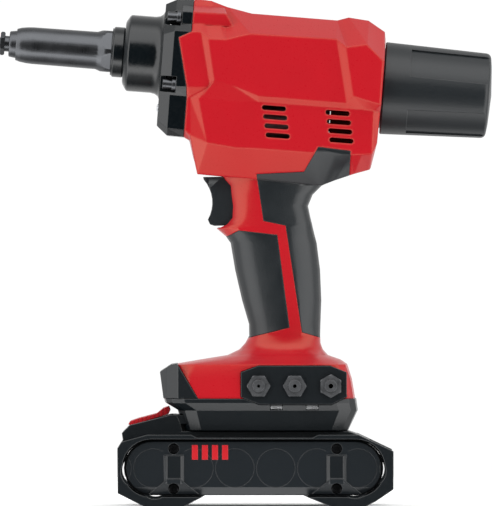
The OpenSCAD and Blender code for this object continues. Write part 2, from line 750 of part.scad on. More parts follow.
// A ball bearing along X: two races with balls between them, in one cage
module bearing(x, t, outer, inner) {
  mid_r = (outer + inner) / 2;
  ball_r = (outer - inner) / 2 * 0.52;
  difference() {
    pipe(x, x + t, outer, inner);
    translate([x + t / 2, 0, 0]) rotate([0, 90, 0]) rotate_extrude()
      translate([mid_r, 0]) circle(r = ball_r + 0.1);
    pipe(x - 1, x + t + 1, mid_r + 0.5, mid_r - 0.5);
  }
  count = floor(PI * mid_r / ball_r / 1.5);
  for (i = [0:count - 1]) rotate([i * 360 / count, 0, 0])
    translate([x + t / 2, 0, mid_r]) sphere(r = ball_r);
}

module nut_bearings() color(bright) in_head() {
  bearing(-thrust_len - 0.4, thrust_len, thrust_r, nut_r + shaft_gap);
  bearing(nut_bearing_x, nut_bearing_t, nut_bearing_r, nut_r + shaft_gap);
}

// Motor and reduction, round the motor axis

case_x0 = joint_x + 0.05;
case_x1 = 42;
ring_x0 = 23;
planet_x = 24;
planet_t = 10;
ring_x1 = planet_x + planet_t + 0.3;

// The outside of the reduction's case round the motor axis, narrow above the head's chin
module reducer_form(x0, x1, grow) at_motor() turned([
  [x0, 0], [x0, 10.4 + grow], [18 - grow, 10.4 + grow], [19.5 - grow, planet_orbit_r + 3.6 + grow],
  [21.8 - grow, ring_r + 2.4 + grow], [x1, ring_r + 2.4 + grow], [x1, 0]
]);

module gear_case() color(steel) in_head() difference() {
  union() {
    rod(case_x0, case_x1, nut_bearing_r + 2.8);
    reducer_form(case_x0, case_x1, 0);
    block(case_x0, case_x1, -13, 13, -motor_drop, 0);
  }
  rod(case_x0 - 1, case_x1 + 1, nut_r + 1);
  rod(nut_bearing_x, case_x1 + 1, nut_bearing_r + shaft_gap);
  at_motor() rod(case_x0 - 1, case_x1, carrier_neck_r + 0.6);
  at_motor() rod(carrier_x - 0.4, case_x1 + 1, planet_orbit_r + 2.8);
  at_motor() rod(ring_x0, case_x1 + 1, ring_r + shaft_gap);
  at_motor() rod(case_x0 - 1, case_x0 + 1, pinion_pitch_r + 2.2);
}

carrier_neck_r = 6;
carrier_x = 19.9;
carrier_t = 3.4;
pin_r = 2;

module ring_gear() color(bright) in_head() at_motor() difference() {
  rod(ring_x0 + 0.05, ring_x1, ring_r);
  gear_space(ring_x0 - 1, ring_x1 + 1);
}

// The space inside the ring: the outline of a gear whose teeth are its gaps
module gear_space(x0, x1) translate([x0, 0, 0]) rotate([0, 90, 0]) linear_extrude(height = x1 - x0)
  polygon(gear_outline(planet_module, ring_teeth, -backlash / 2, dedendum, addendum));

module planet(i) color(bright) in_head() at_motor()
  rotate([-120 * i, 0, 0]) translate([0, 0, -planet_orbit_r])
  difference() {
    gear(planet_x, planet_x + planet_t, planet_module, planet_teeth);
    rod(0, 60, pin_r + shaft_gap);
  }

module planet_a() planet(0);

module planet_b() planet(1);

module planet_c() planet(2);

module carrier() color(steel) in_head() at_motor() {
  difference() {
    union() {
      rod(carrier_x, carrier_x + carrier_t, planet_orbit_r + 2.4);
      rod(11, carrier_x + 1, carrier_neck_r);
      gear(wheel_x, wheel_x + wheel_t, final_module, pinion_teeth, 180 / pinion_teeth);
      rod(pilot_x, wheel_x + 1, pilot_r);
    }
    rod(carrier_x + 1, carrier_x + carrier_t + 1, 3.2);
  }
  for (i = [0:2]) rotate([-120 * i, 0, 0]) translate([0, 0, -planet_orbit_r])
    rod(carrier_x + carrier_t - 0.5, planet_x + planet_t + 0.6, pin_r);
}

shaft_r = 2.5;
rotor_r = 9.6;
can_wall = 1.6;

module motor_can() color(steel) in_head() at_motor() difference() {
  rod(motor_x0, motor_x1, motor_r);
  rod(motor_x0 + 5, motor_x1 + 1, motor_r - can_wall);
  rod(motor_x0 - 1, motor_x0 + 6, bearing_r + shaft_gap);
}

coils = 6;

// Laminated core with slots, where the windings lie
module stator() color(copper) in_head() at_motor() difference() {
  rod(motor_x0 + 6, motor_x1 - 2, motor_r - can_wall - shaft_gap);
  rod(0, 200, rotor_r + 0.5);
  for (i = [0:coils - 1]) rotate([i * 360 / coils, 0, 0])
    block(0, 200, -1.2, 1.2, rotor_r, motor_r - can_wall - 2.2);
}

rear_bearing_x = motor_x1 + 12.5;

module rotor() color(steel) in_head() at_motor() {
  rod(planet_x, rear_bearing_x + 4, shaft_r);
  rod(motor_x0 + 8, motor_x1 - 4, rotor_r);
  gear(planet_x - 0.3, planet_x + planet_t + 0.8, planet_module, sun_teeth);
}

blades = 9;

module motor_fan() color(black) in_head() at_motor() difference() {
  union() {
    rod(fan_x, fan_x + 2, fan_r);
    rod(fan_x, fan_x + fan_len, shaft_r + 2.5);
    for (i = [0:blades - 1]) rotate([i * 360 / blades, 0, 0])
      block(fan_x + 1, fan_x + fan_len, -0.7, 0.7, shaft_r + 1.5, fan_r - 0.1);
  }
  rod(0, 200, shaft_r + 0.02);
}

module motor_bearings() color(bright) in_head() at_motor() {
  bearing(motor_x0 + 0.2, 4, bearing_r, shaft_r + shaft_gap);
  bearing(rear_bearing_x, 4, bearing_r, shaft_r + shaft_gap);
}

// Collector

lug_angle = 20;
lug_x = collector_x + 3;
lug_t = 3;
lug_depth = 2.2;
lugs = 3;

function collector_wall_r(x) =
  collector_r + (collector_end_r - collector_r) * (x - collector_x) / collector_len;

// A ring sector round the X axis, from angle a0 over angle span
module sector(x0, x1, outer, inner, a0, span) rotate([0, 90, 0])
  rotate_extrude(angle = span, start = a0) translate([inner, x0]) square([outer - inner, x1 - x0]);

module collector_socket() color(black) in_head() at_collector() difference() {
  union() {
    rod(head_len - 7.5, head_len - 4.5, socket_flange_r);
    rod(head_len - 5, collector_x + 10, socket_r);
  }
  rod(head_len - 4.4, collector_x + 11, socket_r - 5);
  translate([0, 0, collector_drop]) rod(0, 200, tube_r + shaft_gap);
  pipe(lug_x - 0.3, lug_x + lug_t + 0.3, socket_r + 1, socket_r - lug_depth - 0.4);
  for (i = [0:lugs - 1])
    sector(lug_x, collector_x + 11, socket_r + 1, socket_r - lug_depth - 0.4,
           i * 360 / lugs + bayonet_turn - lug_angle / 2 - 2, lug_angle + 4);
  pipe(collector_x + 7, collector_x + 8.6, socket_r + 1, socket_r - 1.2);
}

module socket_seal() color(rubber) in_head() at_collector()
  translate([collector_x + 7.8, 0, 0]) rotate([0, 90, 0])
  rotate_extrude() translate([socket_r - 0.4, 0]) circle(r = 0.7);

flats = 4;
flat_turn = 50;
flat_depth = 0.7;
flat_x = collector_x + 14.6;
flat_w = 19.6;

module collector() color(rubber) in_head() at_collector() {
  end = collector_end_x;
  difference() {
    turned(concat(
      [[collector_x, 0], [collector_x, collector_r - 0.5], [collector_x + 0.6, collector_r]],
      [[end - 4.6, collector_wall_r(end - 4.6)]],
      [for (a = [20:20:80]) [end - 4.6 + 3 * sin(a), collector_wall_r(end - 4.6) - 3 * (1 - cos(a))]],
      [[end - 1, collector_end_r - 7], [end, 0]]
    ));
    turned(concat(
      [[collector_x - 1, 0], [collector_x - 1, collector_r - collector_wall]],
      [[end - 8, collector_wall_r(end) - collector_wall],
       [end - 4.4, collector_wall_r(end) - collector_wall - 3],
       [end - 3.4, 0]]
    ));
    for (i = [0:flats - 1]) rotate([flat_turn + i * 360 / flats, 0, 0])
      difference() {
        block(flat_x, end + 5, -flat_w / 2, flat_w / 2, 0, collector_r + 5);
        turned([[flat_x - 1, 0], [flat_x - 1, collector_wall_r(flat_x) - flat_depth],
                [end + 6, collector_wall_r(end + 5) - flat_depth], [end + 6, 0]]);
      }
  }
  for (i = [0:lugs - 1])
    sector(lug_x, lug_x + lug_t, collector_r - collector_wall + 0.2, socket_r - lug_depth,
           i * 360 / lugs - lug_angle / 2, lug_angle);
}

tube_r = 6;

module mandrel_tube() color(bright) in_head() pipe(rail_x1 + 2.5, collector_x + 9, tube_r, 4.2);

// Trigger and electrics in the handle

trigger_outline = concat(
  [[-13, 184.1], [-24.2, 183.9]],
  arc([-38.6, 169.6], 19.6, 41, -29, 8),
  [[-20.4, 157.4], [-17.8, 156.6], [-10.4, 156.8], [trigger_back - 0.2, 161], [trigger_back, 178],
   [-8.6, 182.4]]
);

module trigger() color(rubber) stand() {
  intersection() {
    plate(trigger_outline, -trigger_w, trigger_w);
    translate([0, 0, 150]) linear_extrude(height = 40) union() {
      translate([-21, 0]) circle(r = trigger_w);
      translate([-21, -trigger_w]) square([30, 2 * trigger_w]);
      translate([-30, -trigger_w + 4]) square([12, 2 * trigger_w - 8]);
    }
  }
  block(-10, stem_x, -6, 6, 164, 176);
}

stem_x = 2;
switch_x = stem_x + trigger_travel + 1;
switch_len = 20;

module switch_module() color(black) stand() block(switch_x, switch_x + switch_len, -9, 9, 156, 178);

module trigger_spring() color(bright) stand() translate([0, 0, 170])
  coil(stem_x + 0.2, switch_x - 0.1, 3.4, 0.5, 4, "trigger");

module control_board() color(board_green) stand() {
  block(-22, 46, -foot_w + 16.6, foot_w - 8.6, foot_z + 2.1, foot_z + 3.7);
  for (x = [-10, 4, 18]) block(x, x + 9, -14, -4, foot_z + 3.6, foot_z + 7);
  block(30, 40, 6, 24, foot_z + 3.6, foot_z + 9);
}

// Foot, dock and rack

dock_rings = [
  [foot_z, -46, 61.6, foot_w + 0.6, 8],
  [57.8, -45.4, 61.9, foot_w + 0.6, 8],
  [53.6, -38.4, 62.5, foot_w - 1.8, 8],
  [dock_z, -34.8, 57.2, foot_w - 3, 8]
];
rail_w = foot_w - 8;
neck_w = foot_w - 12.6;
rail_z = 46;
rail_top = 51.4;
rail_end = 50;

module dock() color(black) stand() difference() {
  union() {
    loft([for (i = [3:-1:0]) whole_ring(dock_rings[i])]);
    for (x = [-16, 40], y = [-16, 24]) translate([x, y, foot_z - 1]) cylinder(h = 3, r = 3);
  }
  block(-80, rail_end + run_gap, -neck_w - run_gap, neck_w + run_gap, 20, rail_top);
  block(-80, rail_end + run_gap, -rail_w - run_gap, rail_w + run_gap, rail_z - run_gap, rail_top);
  plate(rack_outline(seam), -60, rack_back);
  for (y = terminal_y) block(31, 33, y - 1.5, y + 1.5, rail_top - 1, foot_z + 1);
  for (x = clip_x) block(x - seam, x + clip_len + seam, -60, -foot_w + 3, 54.2, 57);
}

terminal_y = [-16, -8, 8, 16];

module dock_terminals() color(brass) stand() for (y = terminal_y) {
  block(31.1, 32.9, y - 1.4, y + 1.4, rail_top - 0.2, foot_z);
  block(26, 38, y - 0.4, y + 0.4, rail_top - 4.4, rail_top - 0.1);
}

module foot_cap() color(black) stand() {
  front = [[-38.5, 79.7], [-42, 79.2], [-48.2, 75.2], [-46.2, foot_z + 0.05], [-26.95, foot_z + 0.05],
           [-35.3, 74.35]];
  intersection() {
    plate(front, -60, 60);
    translate([0, 0, 50]) linear_extrude(height = 40) polygon([
      [-25, -foot_w + 0.6], [-38, -foot_w + 0.6], [-44.6, -foot_w + 7], [-49, -foot_w + 16],
      [-49, foot_w - 16], [-44.6, foot_w - 7], [-38, foot_w - 0.6], [-25, foot_w - 0.6]
    ]);
  }
}

rack_back = -foot_w + 4.6;
rack_front = -foot_w - 0.5;
rack_x = [6.9, 27, 47.1];
rack_z = 67.3;
rack_turn = [30, 30, 0];
rack_bore_r = [0.9, 1.05, 1.3];

function rack_outline(grow) = [
  [-3 - grow, 75 + grow], [6.8 - grow, 78.6 + grow], [47 + grow, 78.6 + grow], [56 + grow, 75 + grow],
  [56 + grow, 61.2 - grow], [47.5 + grow, 57 - grow], [7.5 - grow, 57 - grow], [-3 - grow, 61.2 - grow]
];

module rack() color(black) stand() difference() {
  plate(rack_outline(0), rack_front, rack_back - seam);
  for (x = rack_x) post(x, rack_z, nose_thread_r + 0.12, -60, 0);
}

module spare_nosepieces() color(steel) stand() for (i = [0:2])
  translate([rack_x[i], rack_front - 3.85, rack_z]) rotate([0, 0, 90])
    nosepiece_form(rack_turn[i], rack_bore_r[i], 3.2);

clip_x = [13.6, 33.6];
clip_len = 6.4;

module rack_clips() color(bright) stand() for (x = clip_x) {
  block(x, x + clip_len, -foot_w - 1.4, -foot_w + 2.9, 55, 55.8);
  block(x, x + clip_len, -foot_w + 2, -foot_w + 2.9, 54.4, 56.8);
}

// Battery

case_x = [-68.2, 76.4];
case_z = [6.4, 36.8];
case_w = cell_len / 2 + 1.4;
cover_t = 3.2;
battery_w = case_w + cover_t + bumper_out;
cells_x = 5.1;
cells_z = (case_z[0] + case_z[1]) / 2;
cell_places = [for (i = [-2.5:1:2.5]) cells_x + i * cell_pitch];

module battery_case() color(black) stand() difference() {
  plate(stadium(case_x[0], case_x[1], case_z[0], case_z[1]), -case_w, case_w);
  for (x = cell_places) post(x, cells_z, cell_r + 0.1, -case_w - 1, case_w + 1);
  for (x = cover_screw_x, z = cover_screw_z) post(x, z, 1.3, -case_w - 1, case_w + 1);
}

module battery_cells() color("royalblue") stand() for (x = cell_places) {
  post(x, cells_z, cell_r, -cell_len / 2, cell_len / 2 - 1.6);
  post(x, cells_z, cell_r * 0.4, cell_len / 2 - 2, cell_len / 2);
}

cover_screw_x = [-40.4, 50.4];
cover_screw_z = [10.2, 32.4];
cover_screw_head_r = 2.9;
strap_w = 11.3;

cover_sill = case_z[0] + 4.6;

// A strap on the cover, flush with it at the top, with bevelled sides
module strap(x) {
  y = -case_w - cover_t;
  loft([
    [[x - strap_w / 2, y + 0.3, 12.6], [x - strap_w / 2 + 2, y - 1.5, 12.6],
     [x + strap_w / 2 - 2, y - 1.5, 12.6], [x + strap_w / 2, y + 0.3, 12.6]],
    [[x - strap_w / 2, y + 0.3, 29], [x - strap_w / 2 + 0.1, y - 0.1, 29], [x + strap_w / 2 - 0.1, y - 0.1, 29],
     [x + strap_w / 2, y + 0.3, 29]]
  ]);
}

// The sloping foot of a strap, with the lower screw in it
module strap_foot(x) {
  y = -case_w - cover_t;
  low = case_z[0] + 0.6;
  loft([
    [[x - 14, y + 2.8, low], [x - 14, y + 1, low], [x + 14, y + 1, low], [x + 14, y + 2.8, low]],
    [[x - strap_w / 2 + 1.2, y + 2.8, 15.2], [x - strap_w / 2 + 2, y - 1.4, 15.2],
     [x + strap_w / 2 - 2, y - 1.4, 15.2], [x + strap_w / 2 - 1.2, y + 2.8, 15.2]]
  ]);
}

module battery_cover() color(black) stand() difference() {
  union() {
    difference() {
      plate(stadium(case_x[0] + 1.2, case_x[1] - 1.2, case_z[0] + 0.4, case_z[1] - 0.4),
            -case_w - cover_t, -case_w - 0.02);
      translate([-200, 0, 0]) rotate([90, 0, 90]) linear_extrude(height = 400) polygon([
        [-60, cover_sill], [-case_w - cover_t, cover_sill], [-case_w - 0.8, case_z[0]], [-60, case_z[0] - 8]
      ]);
    }
    for (x = cover_screw_x) {
      strap(x);
      strap_foot(x);
    }
  }
  for (x = cover_screw_x, z = cover_screw_z) {
    post(x, z, 1.6, -60, 0);
    post(x, z, cover_screw_head_r + 0.15, -60, -case_w - 1.6);
  }
}

module battery_cover_left() battery_cover();

module battery_cover_right() right_side() battery_cover();

module battery_screws() color(bright) stand() both_sides()
  for (x = cover_screw_x, z = cover_screw_z) difference() {
    union() {
      post(x, z, cover_screw_head_r, -case_w - cover_t + 0.2, -case_w - 1.62);
      post(x, z, 1.2, -case_w - 2, -case_w + 8);
    }
    post(x, z, 1.3, -60, -case_w - cover_t + 1.3);
  }

// Outline of the bumper's outside: two feet, a raised belly between them, a low saddle on top
bumper_outline = [
  [-71.8, 32.6], [-69.6, 36.2], [-55, 40.2], [-30.6, 40.2], [-27.6, 38.6], [37, 38.6], [40, 40.2],
  [62.6, 40.2],
  [82, 31], [82, 9.8], [72.6, 3.4], [66, 0], [47.6, 0], [30.6, 6.8], [-22, 6.8], [-35.2, 0],
  [-56.4, 0], [-71.6, 7.6]
];

bumper_back = 31;

module bumper() color(black) stand() difference() {
  plate(bumper_outline, -battery_w, -bumper_back);
  plate(stadium(case_x[0] - 0.1, case_x[1] + 0.1, case_z[0] - 0.1, case_z[1] + 0.1), -60, 0);
  plate(stadium(case_x[0] - 0.9, case_x[1] + 0.9, case_z[0] - 0.9, case_z[1] + 0.9), -60, -case_w + 1);
  post(-63 + bumper_t / 2, 19.4, 8.6, -60, 0);
  post(73.2 - bumper_t, 19.8, 8.2, -60, 0);
  post(-51, 9.6 + bumper_t, 8.8, -60, 0);
  post(60.6, 10.4 + bumper_t, 9.2, -60, 0);
}

module bumper_left() bumper();

module bumper_right() right_side() bumper();

top_outline = [
  [-68.8, case_z[1] + 0.05], [-69.4, 41], [-65, 45.4], [-42, 51.2], [-39.2, 51.2], [-37.4, 47.8],
  [-35.6, dock_z - 0.4], [57, dock_z - 0.4], [62.4, 40.2], [69.2, case_z[1] + 0.05]
];
button_outline = [
  [-66, 45.6], [-65, 47.4], [-60.5, 49], [-50, 51.8], [-46.4, 54.8], [-43.2, 55.8], [-42.4, 53.6],
  [-43.4, 51.4], [-64, 45.2]
];
button_w = 17;
button_stem = [-56, -50];
board_x = [-24, 44];
board_w = 27;

module battery_top() color(black) stand() difference() {
  union() {
    plate(top_outline, -bumper_back + 0.05, bumper_back - 0.05);
    block(-40, rail_end, -neck_w, neck_w, 39, rail_z + 0.5);
    block(-40, rail_end, -rail_w, rail_w, rail_z, rail_top - run_gap);
  }
  plate([[-66 - run_gap, 44.6 - button_travel - run_gap], [-41, 52.1 - button_travel - run_gap], [-41, 62],
         [-66 - run_gap, 62]], -button_w - run_gap, button_w + run_gap);
  block(button_stem[0] - run_gap, button_stem[1] + run_gap, -5 - run_gap, 5 + run_gap, 38.4, 60);
  block(board_x[0] - 0.1, board_x[1] + 0.1, -board_w - 0.1, board_w + 0.1, 30, board_z + 1.65);
  for (y = terminal_y) block(24, 60, y - 1.7, y + 1.7, rail_top - 6.4, 60);
}

board_z = 37.4;

module battery_board() color(board_green) stand() {
  block(board_x[0], board_x[1], -board_w, board_w, board_z, board_z + 1.6);
}

module battery_terminals() color(brass) stand() for (y = terminal_y) {
  block(24.2, 42, y - 1.6, y + 1.6, rail_top - 6.35, rail_top - 5.8);
  for (s = [-1, 1]) block(24.2, 42, y + s * 1.3 - 0.3, y + s * 1.3 + 0.3, rail_top - 6.2, rail_top - 1.2);
}

module release_button() color("red") stand() {
  plate(button_outline, -button_w, button_w);
  block(button_stem[0], button_stem[1], -5, 5, 42, 50);
}

housing_left();
housing_right();
housing_screws();
front_housing();
front_screws();
bell();
lock_collar();
sleeve();
nosepiece();
grip_front_left();
grip_front_right();
grip_rear_left();
grip_rear_right();
work_light_lens();
switch_module();
trigger();
trigger_spring();
control_board();
dock();
dock_terminals();
foot_cap();
rack();
rack_clips();
spare_nosepieces();
collector_socket();
socket_seal();
collector();
mandrel_tube();
motor_can();
stator();
rotor();
motor_fan();
motor_bearings();
gear_case();
ring_gear();
planet_a();
planet_b();
planet_c();
carrier();
drive_gear();
ball_nut();
nut_bearings();
spindle();
guide_block();
guide_rails();
jaw_housing();
jaws();
jaw_pusher();
jaw_spring();
battery_case();
battery_top();
battery_cover_left();
battery_cover_right();
bumper_left();
bumper_right();
battery_screws();
battery_cells();
battery_board();
battery_terminals();
release_button();
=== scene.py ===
"""Looks of a battery rivet tool: finishes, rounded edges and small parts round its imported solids."""

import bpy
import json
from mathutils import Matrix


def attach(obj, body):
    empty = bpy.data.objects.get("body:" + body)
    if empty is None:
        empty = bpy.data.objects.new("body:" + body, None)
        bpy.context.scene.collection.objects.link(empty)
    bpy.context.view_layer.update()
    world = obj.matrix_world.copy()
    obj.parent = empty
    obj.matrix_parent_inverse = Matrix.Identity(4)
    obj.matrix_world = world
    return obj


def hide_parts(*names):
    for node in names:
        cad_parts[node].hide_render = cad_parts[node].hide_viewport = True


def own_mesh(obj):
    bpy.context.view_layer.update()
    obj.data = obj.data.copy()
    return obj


bl_info = {
    "name": "Battery Rivet Tool",
    "version": (1, 0, 0),
    "blender": (4, 5, 0),
    "location": "3D View > Sidebar > Rivet Tool",
    "description": "Dresses the solids of a battery rivet tool and sets up its studio",
    "category": "Object",
}

import json
import math

import bmesh
import bpy
from mathutils import Matrix, Vector

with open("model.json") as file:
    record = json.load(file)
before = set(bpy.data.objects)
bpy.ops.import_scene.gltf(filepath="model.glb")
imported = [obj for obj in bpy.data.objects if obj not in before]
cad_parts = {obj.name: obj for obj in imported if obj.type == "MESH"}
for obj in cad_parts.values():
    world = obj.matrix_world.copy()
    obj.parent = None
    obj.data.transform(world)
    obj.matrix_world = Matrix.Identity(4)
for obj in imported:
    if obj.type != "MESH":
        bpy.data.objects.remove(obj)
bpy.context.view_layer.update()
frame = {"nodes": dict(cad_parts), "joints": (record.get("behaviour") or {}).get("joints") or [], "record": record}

MM = 0.001
WHITE = (1.0, 1.0, 1.0, 1.0)

# The tool's axis: where the bell meets the front housing, and its tilt
HEAD_TILT = math.radians(4.35)
HEAD_PLACE = Vector((-0.0461606, 0.0, 0.252))
HEAD = Matrix.Translation(HEAD_PLACE) @ Matrix.Rotation(HEAD_TILT, 4, "Y")
# How far the tool's drawing is moved along X to stand in the middle of its frame
STAND_X = 0.839 * MM
# Above the first height creases of the red shell stay crisp, above the second its edges catch broad light
CRISP_ABOVE = 0.184
SOFT_ABOVE = 0.176

# Cells behind the battery covers: a place halfway between two of them, and the height of their middles
BETWEEN_CELLS_X = STAND_X + 5.1 * MM
CELL_Z = 21.6 * MM
# Screws of the battery covers: places in the drawing, seat from the middle plane, size of a head
COVER_SCREW_X = (-40.4 * MM, 50.4 * MM)
COVER_SCREW_Z = (10.2 * MM, 32.4 * MM)
COVER_SCREW_SEAT = 38.0 * MM
COVER_HEAD = dict(radius=2.85 * MM, height=1.4 * MM, recess=1.45 * MM, depth=1.0 * MM, dome=0.4 * MM)
# Straps between those screws
STRAP_X = (-40.2 * MM, 50.2 * MM)
STRAP_Z = 21.1 * MM
STRAP_SEAT = 39.4 * MM
STRAP_HEIGHT = 15.0 * MM
STRAP_THICK = 1.85 * MM
STRAP_CLEAR = 6.1 * MM
# Charge marks: the first one, the step to the next, and their size
MARK_COUNT = 4
MARK_X = -28.6 * MM
MARK_STEP = 5.6 * MM
MARK_Z = 30.4 * MM
MARK_SEAT = 39.5 * MM
MARK_WIDTH = 3.4 * MM
MARK_THICK = 0.5 * MM
# Screws of the front housing: places across the tool's axis, seat along it, sizes of head and collar
FRONT_SCREWS = ((23.2 * MM, 21.5 * MM), (27.0 * MM, -16.0 * MM))
FRONT_SCREW_SEAT = 9.0 * MM
FRONT_HEAD = dict(radius=2.9 * MM, height=7.6 * MM, recess=1.5 * MM, depth=2.0 * MM, dome=0.3 * MM)
FRONT_COLLAR = dict(radius=3.9 * MM, height=2.2 * MM)

body_of_node = {n: b for b, nodes in frame["record"]["behaviour"]["bodies"].items() for n in nodes}
joint_of_name = {joint["name"]: joint for joint in frame["joints"]}
finishes = {}


def colour(name, text, value):
    """A colour that a user may change."""
    return bpy.props.FloatVectorProperty(
        name=name, description=text, default=value, size=3, min=0.0, max=1.0, subtype="COLOR"
    )


def length(name, text, value):
    """A length that a user may change."""
    return bpy.props.FloatProperty(
        name=name, description=text, default=value, min=0.0, soft_max=1.0, unit="LENGTH", subtype="DISTANCE"
    )


def share(name, text, value, highest=10.0):
    """A plain number that a user may change."""
    return bpy.props.FloatProperty(name=name, description=text, default=value, min=0.0, max=highest)


class ToolColours(bpy.types.PropertyGroup):
    """Colours of the tool's finishes."""

    red_shell: colour("Red Shell", "Moulded housing of head, handle and foot", (0.340, 0.0038, 0.0108))
    black_cast: colour("Black Cast", "Coated front housing and bell", (0.0006, 0.0020, 0.0030))
    battery_cover: colour("Battery Cover", "Side covers of the battery", (0.0040, 0.0064, 0.0086))
    black_shell: colour("Black Shell", "Moulded dock, rack, cap and battery", (0.0010, 0.0028, 0.0042))
    collector_shell: colour("Collector Shell", "Satin collector for spent mandrels", (0.0015, 0.0036, 0.0052))
    grip_rubber: colour("Grip Rubber", "Soft grips of the handle", (0.0022, 0.0044, 0.0060))
    trigger_shell: colour("Trigger", "Trigger and its stem", (0.0020, 0.0042, 0.0060))
    sleeve_steel: colour("Sleeve Steel", "Black oxide on turned steel", (0.085, 0.088, 0.094))
    bright_steel: colour("Bright Steel", "Zinc plated and ground steel", (0.60, 0.61, 0.62))
    spare_steel: colour("Spare Steel", "Phosphated spare nosepieces", (0.095, 0.098, 0.103))
    screw_steel: colour("Screw Steel", "Dark oxide screws", (0.030, 0.031, 0.033))
    gear_steel: colour("Gear Steel", "Hardened gears and shafts", (0.42, 0.43, 0.44))
    case_alloy: colour("Case Alloy", "Cast gear case and motor can", (0.55, 0.56, 0.58))
    copper: colour("Copper", "Enamelled windings", (0.62, 0.24, 0.09))
    brass: colour("Contact Brass", "Spring contacts", (0.74, 0.53, 0.20))
    board: colour("Board", "Solder resist of the boards", (0.01, 0.09, 0.04))
    cell_wrap: colour("Cell Wrap", "Shrink wrap of the cells", (0.03, 0.12, 0.32))
    lens: colour("Lens", "Work light lens", (0.90, 0.92, 0.95))
    button_red: colour("Button Red", "Release button and marks on the battery", (0.40, 0.0032, 0.0085))


class ToolSizes(bpy.types.PropertyGroup):
    """Sizes of rounded edges and small parts."""

    shell_edge: length("Shell Edge", "Rounding of the housing's edges", 0.25 * MM)
    cast_edge: length("Cast Edge", "Rounding of the front housing's edges", 0.25 * MM)
    battery_edge: length("Battery Edge", "Rounding of dock and battery edges", 0.35 * MM)
    rubber_edge: length("Rubber Edge", "Rounding of the grips' rims", 0.35 * MM)
    steel_edge: length("Steel Edge", "Broken edges of turned and milled steel", 0.18 * MM)
    trigger_edge: length("Trigger Edge", "Rounding of the trigger", 0.5 * MM)
    cell_ring: length("Cell Ring", "Radius of the rings that mark the cells on the covers", 10.75 * MM)
    cell_pitch: length("Cell Pitch", "Distance between the rings", 22.8 * MM)
    strap_width: length("Strap Width", "Width of the straps on the battery covers", 11.6 * MM)
    bar_height: length("Mark Height", "Height of the charge marks on the battery", 8.2 * MM)


class StudioSizes(bpy.types.PropertyGroup):
    """Camera and light."""

    camera_distance: length("Camera Distance", "From the camera to the tool's middle plane", 7.0)
    frame_height: length("Frame Height", "Height of the picture at the tool's middle plane", 0.28336)
    tent_light: share("Tent Light", "Brightness of the white tent round the tool", 2.6)
    back_light: share("Back Light", "Brightness of the tent behind the tool", 0.75)
    table_light: share("Table Light", "Share of the tent's brightness below the tool", 0.2)
    opening: share("Opening", "Cosine of half the angle that the tent is open round the camera", 0.80, 0.92)


class Nodes:
    """Short calls that build up a tree of shader nodes."""

    def __init__(self, tree):
        self.tree = tree

    def first(self, kind):
        return next(node for node in self.tree.nodes if node.type == kind)

    def add(self, kind, **settings):
        node = self.tree.nodes.new(kind)
        for key, value in settings.items():
            setattr(node, key, value)
        return node

    def put(self, value, socket):
        if isinstance(value, bpy.types.NodeSocket):
            self.tree.links.new(value, socket)
        else:
            socket.default_value = value

    def fill(self, node, values):
        """Links or sets inputs of a node by name, and gives its outputs."""
        for key, value in values.items():
            self.put(value, node.inputs[key])
        return node.outputs

    def math(self, operation, a, b=0.0, c=0.0, clamp=False):
        node = self.add("ShaderNodeMath", operation=operation, use_clamp=clamp)
        for value, socket in zip((a, b, c), node.inputs):
            self.put(value, socket)
        return node.outputs[0]

    def times(self, a, b, clamp=False):
        return self.math("MULTIPLY", a, b, clamp=clamp)

    def less(self, a, b):
        return self.math("SUBTRACT", a, b)

    def span(self, value, source, target):
        """Carries the range that a value has over to another one, held at both ends."""
        keys = ("Value", "From Min", "From Max", "To Min", "To Max")
        return self.fill(self.add("ShaderNodeMapRange"), dict(zip(keys, (value, *source, *target))))["Result"]

    def parts(self, vector):
        return self.fill(self.add("ShaderNodeSeparateXYZ"), {"Vector": vector})


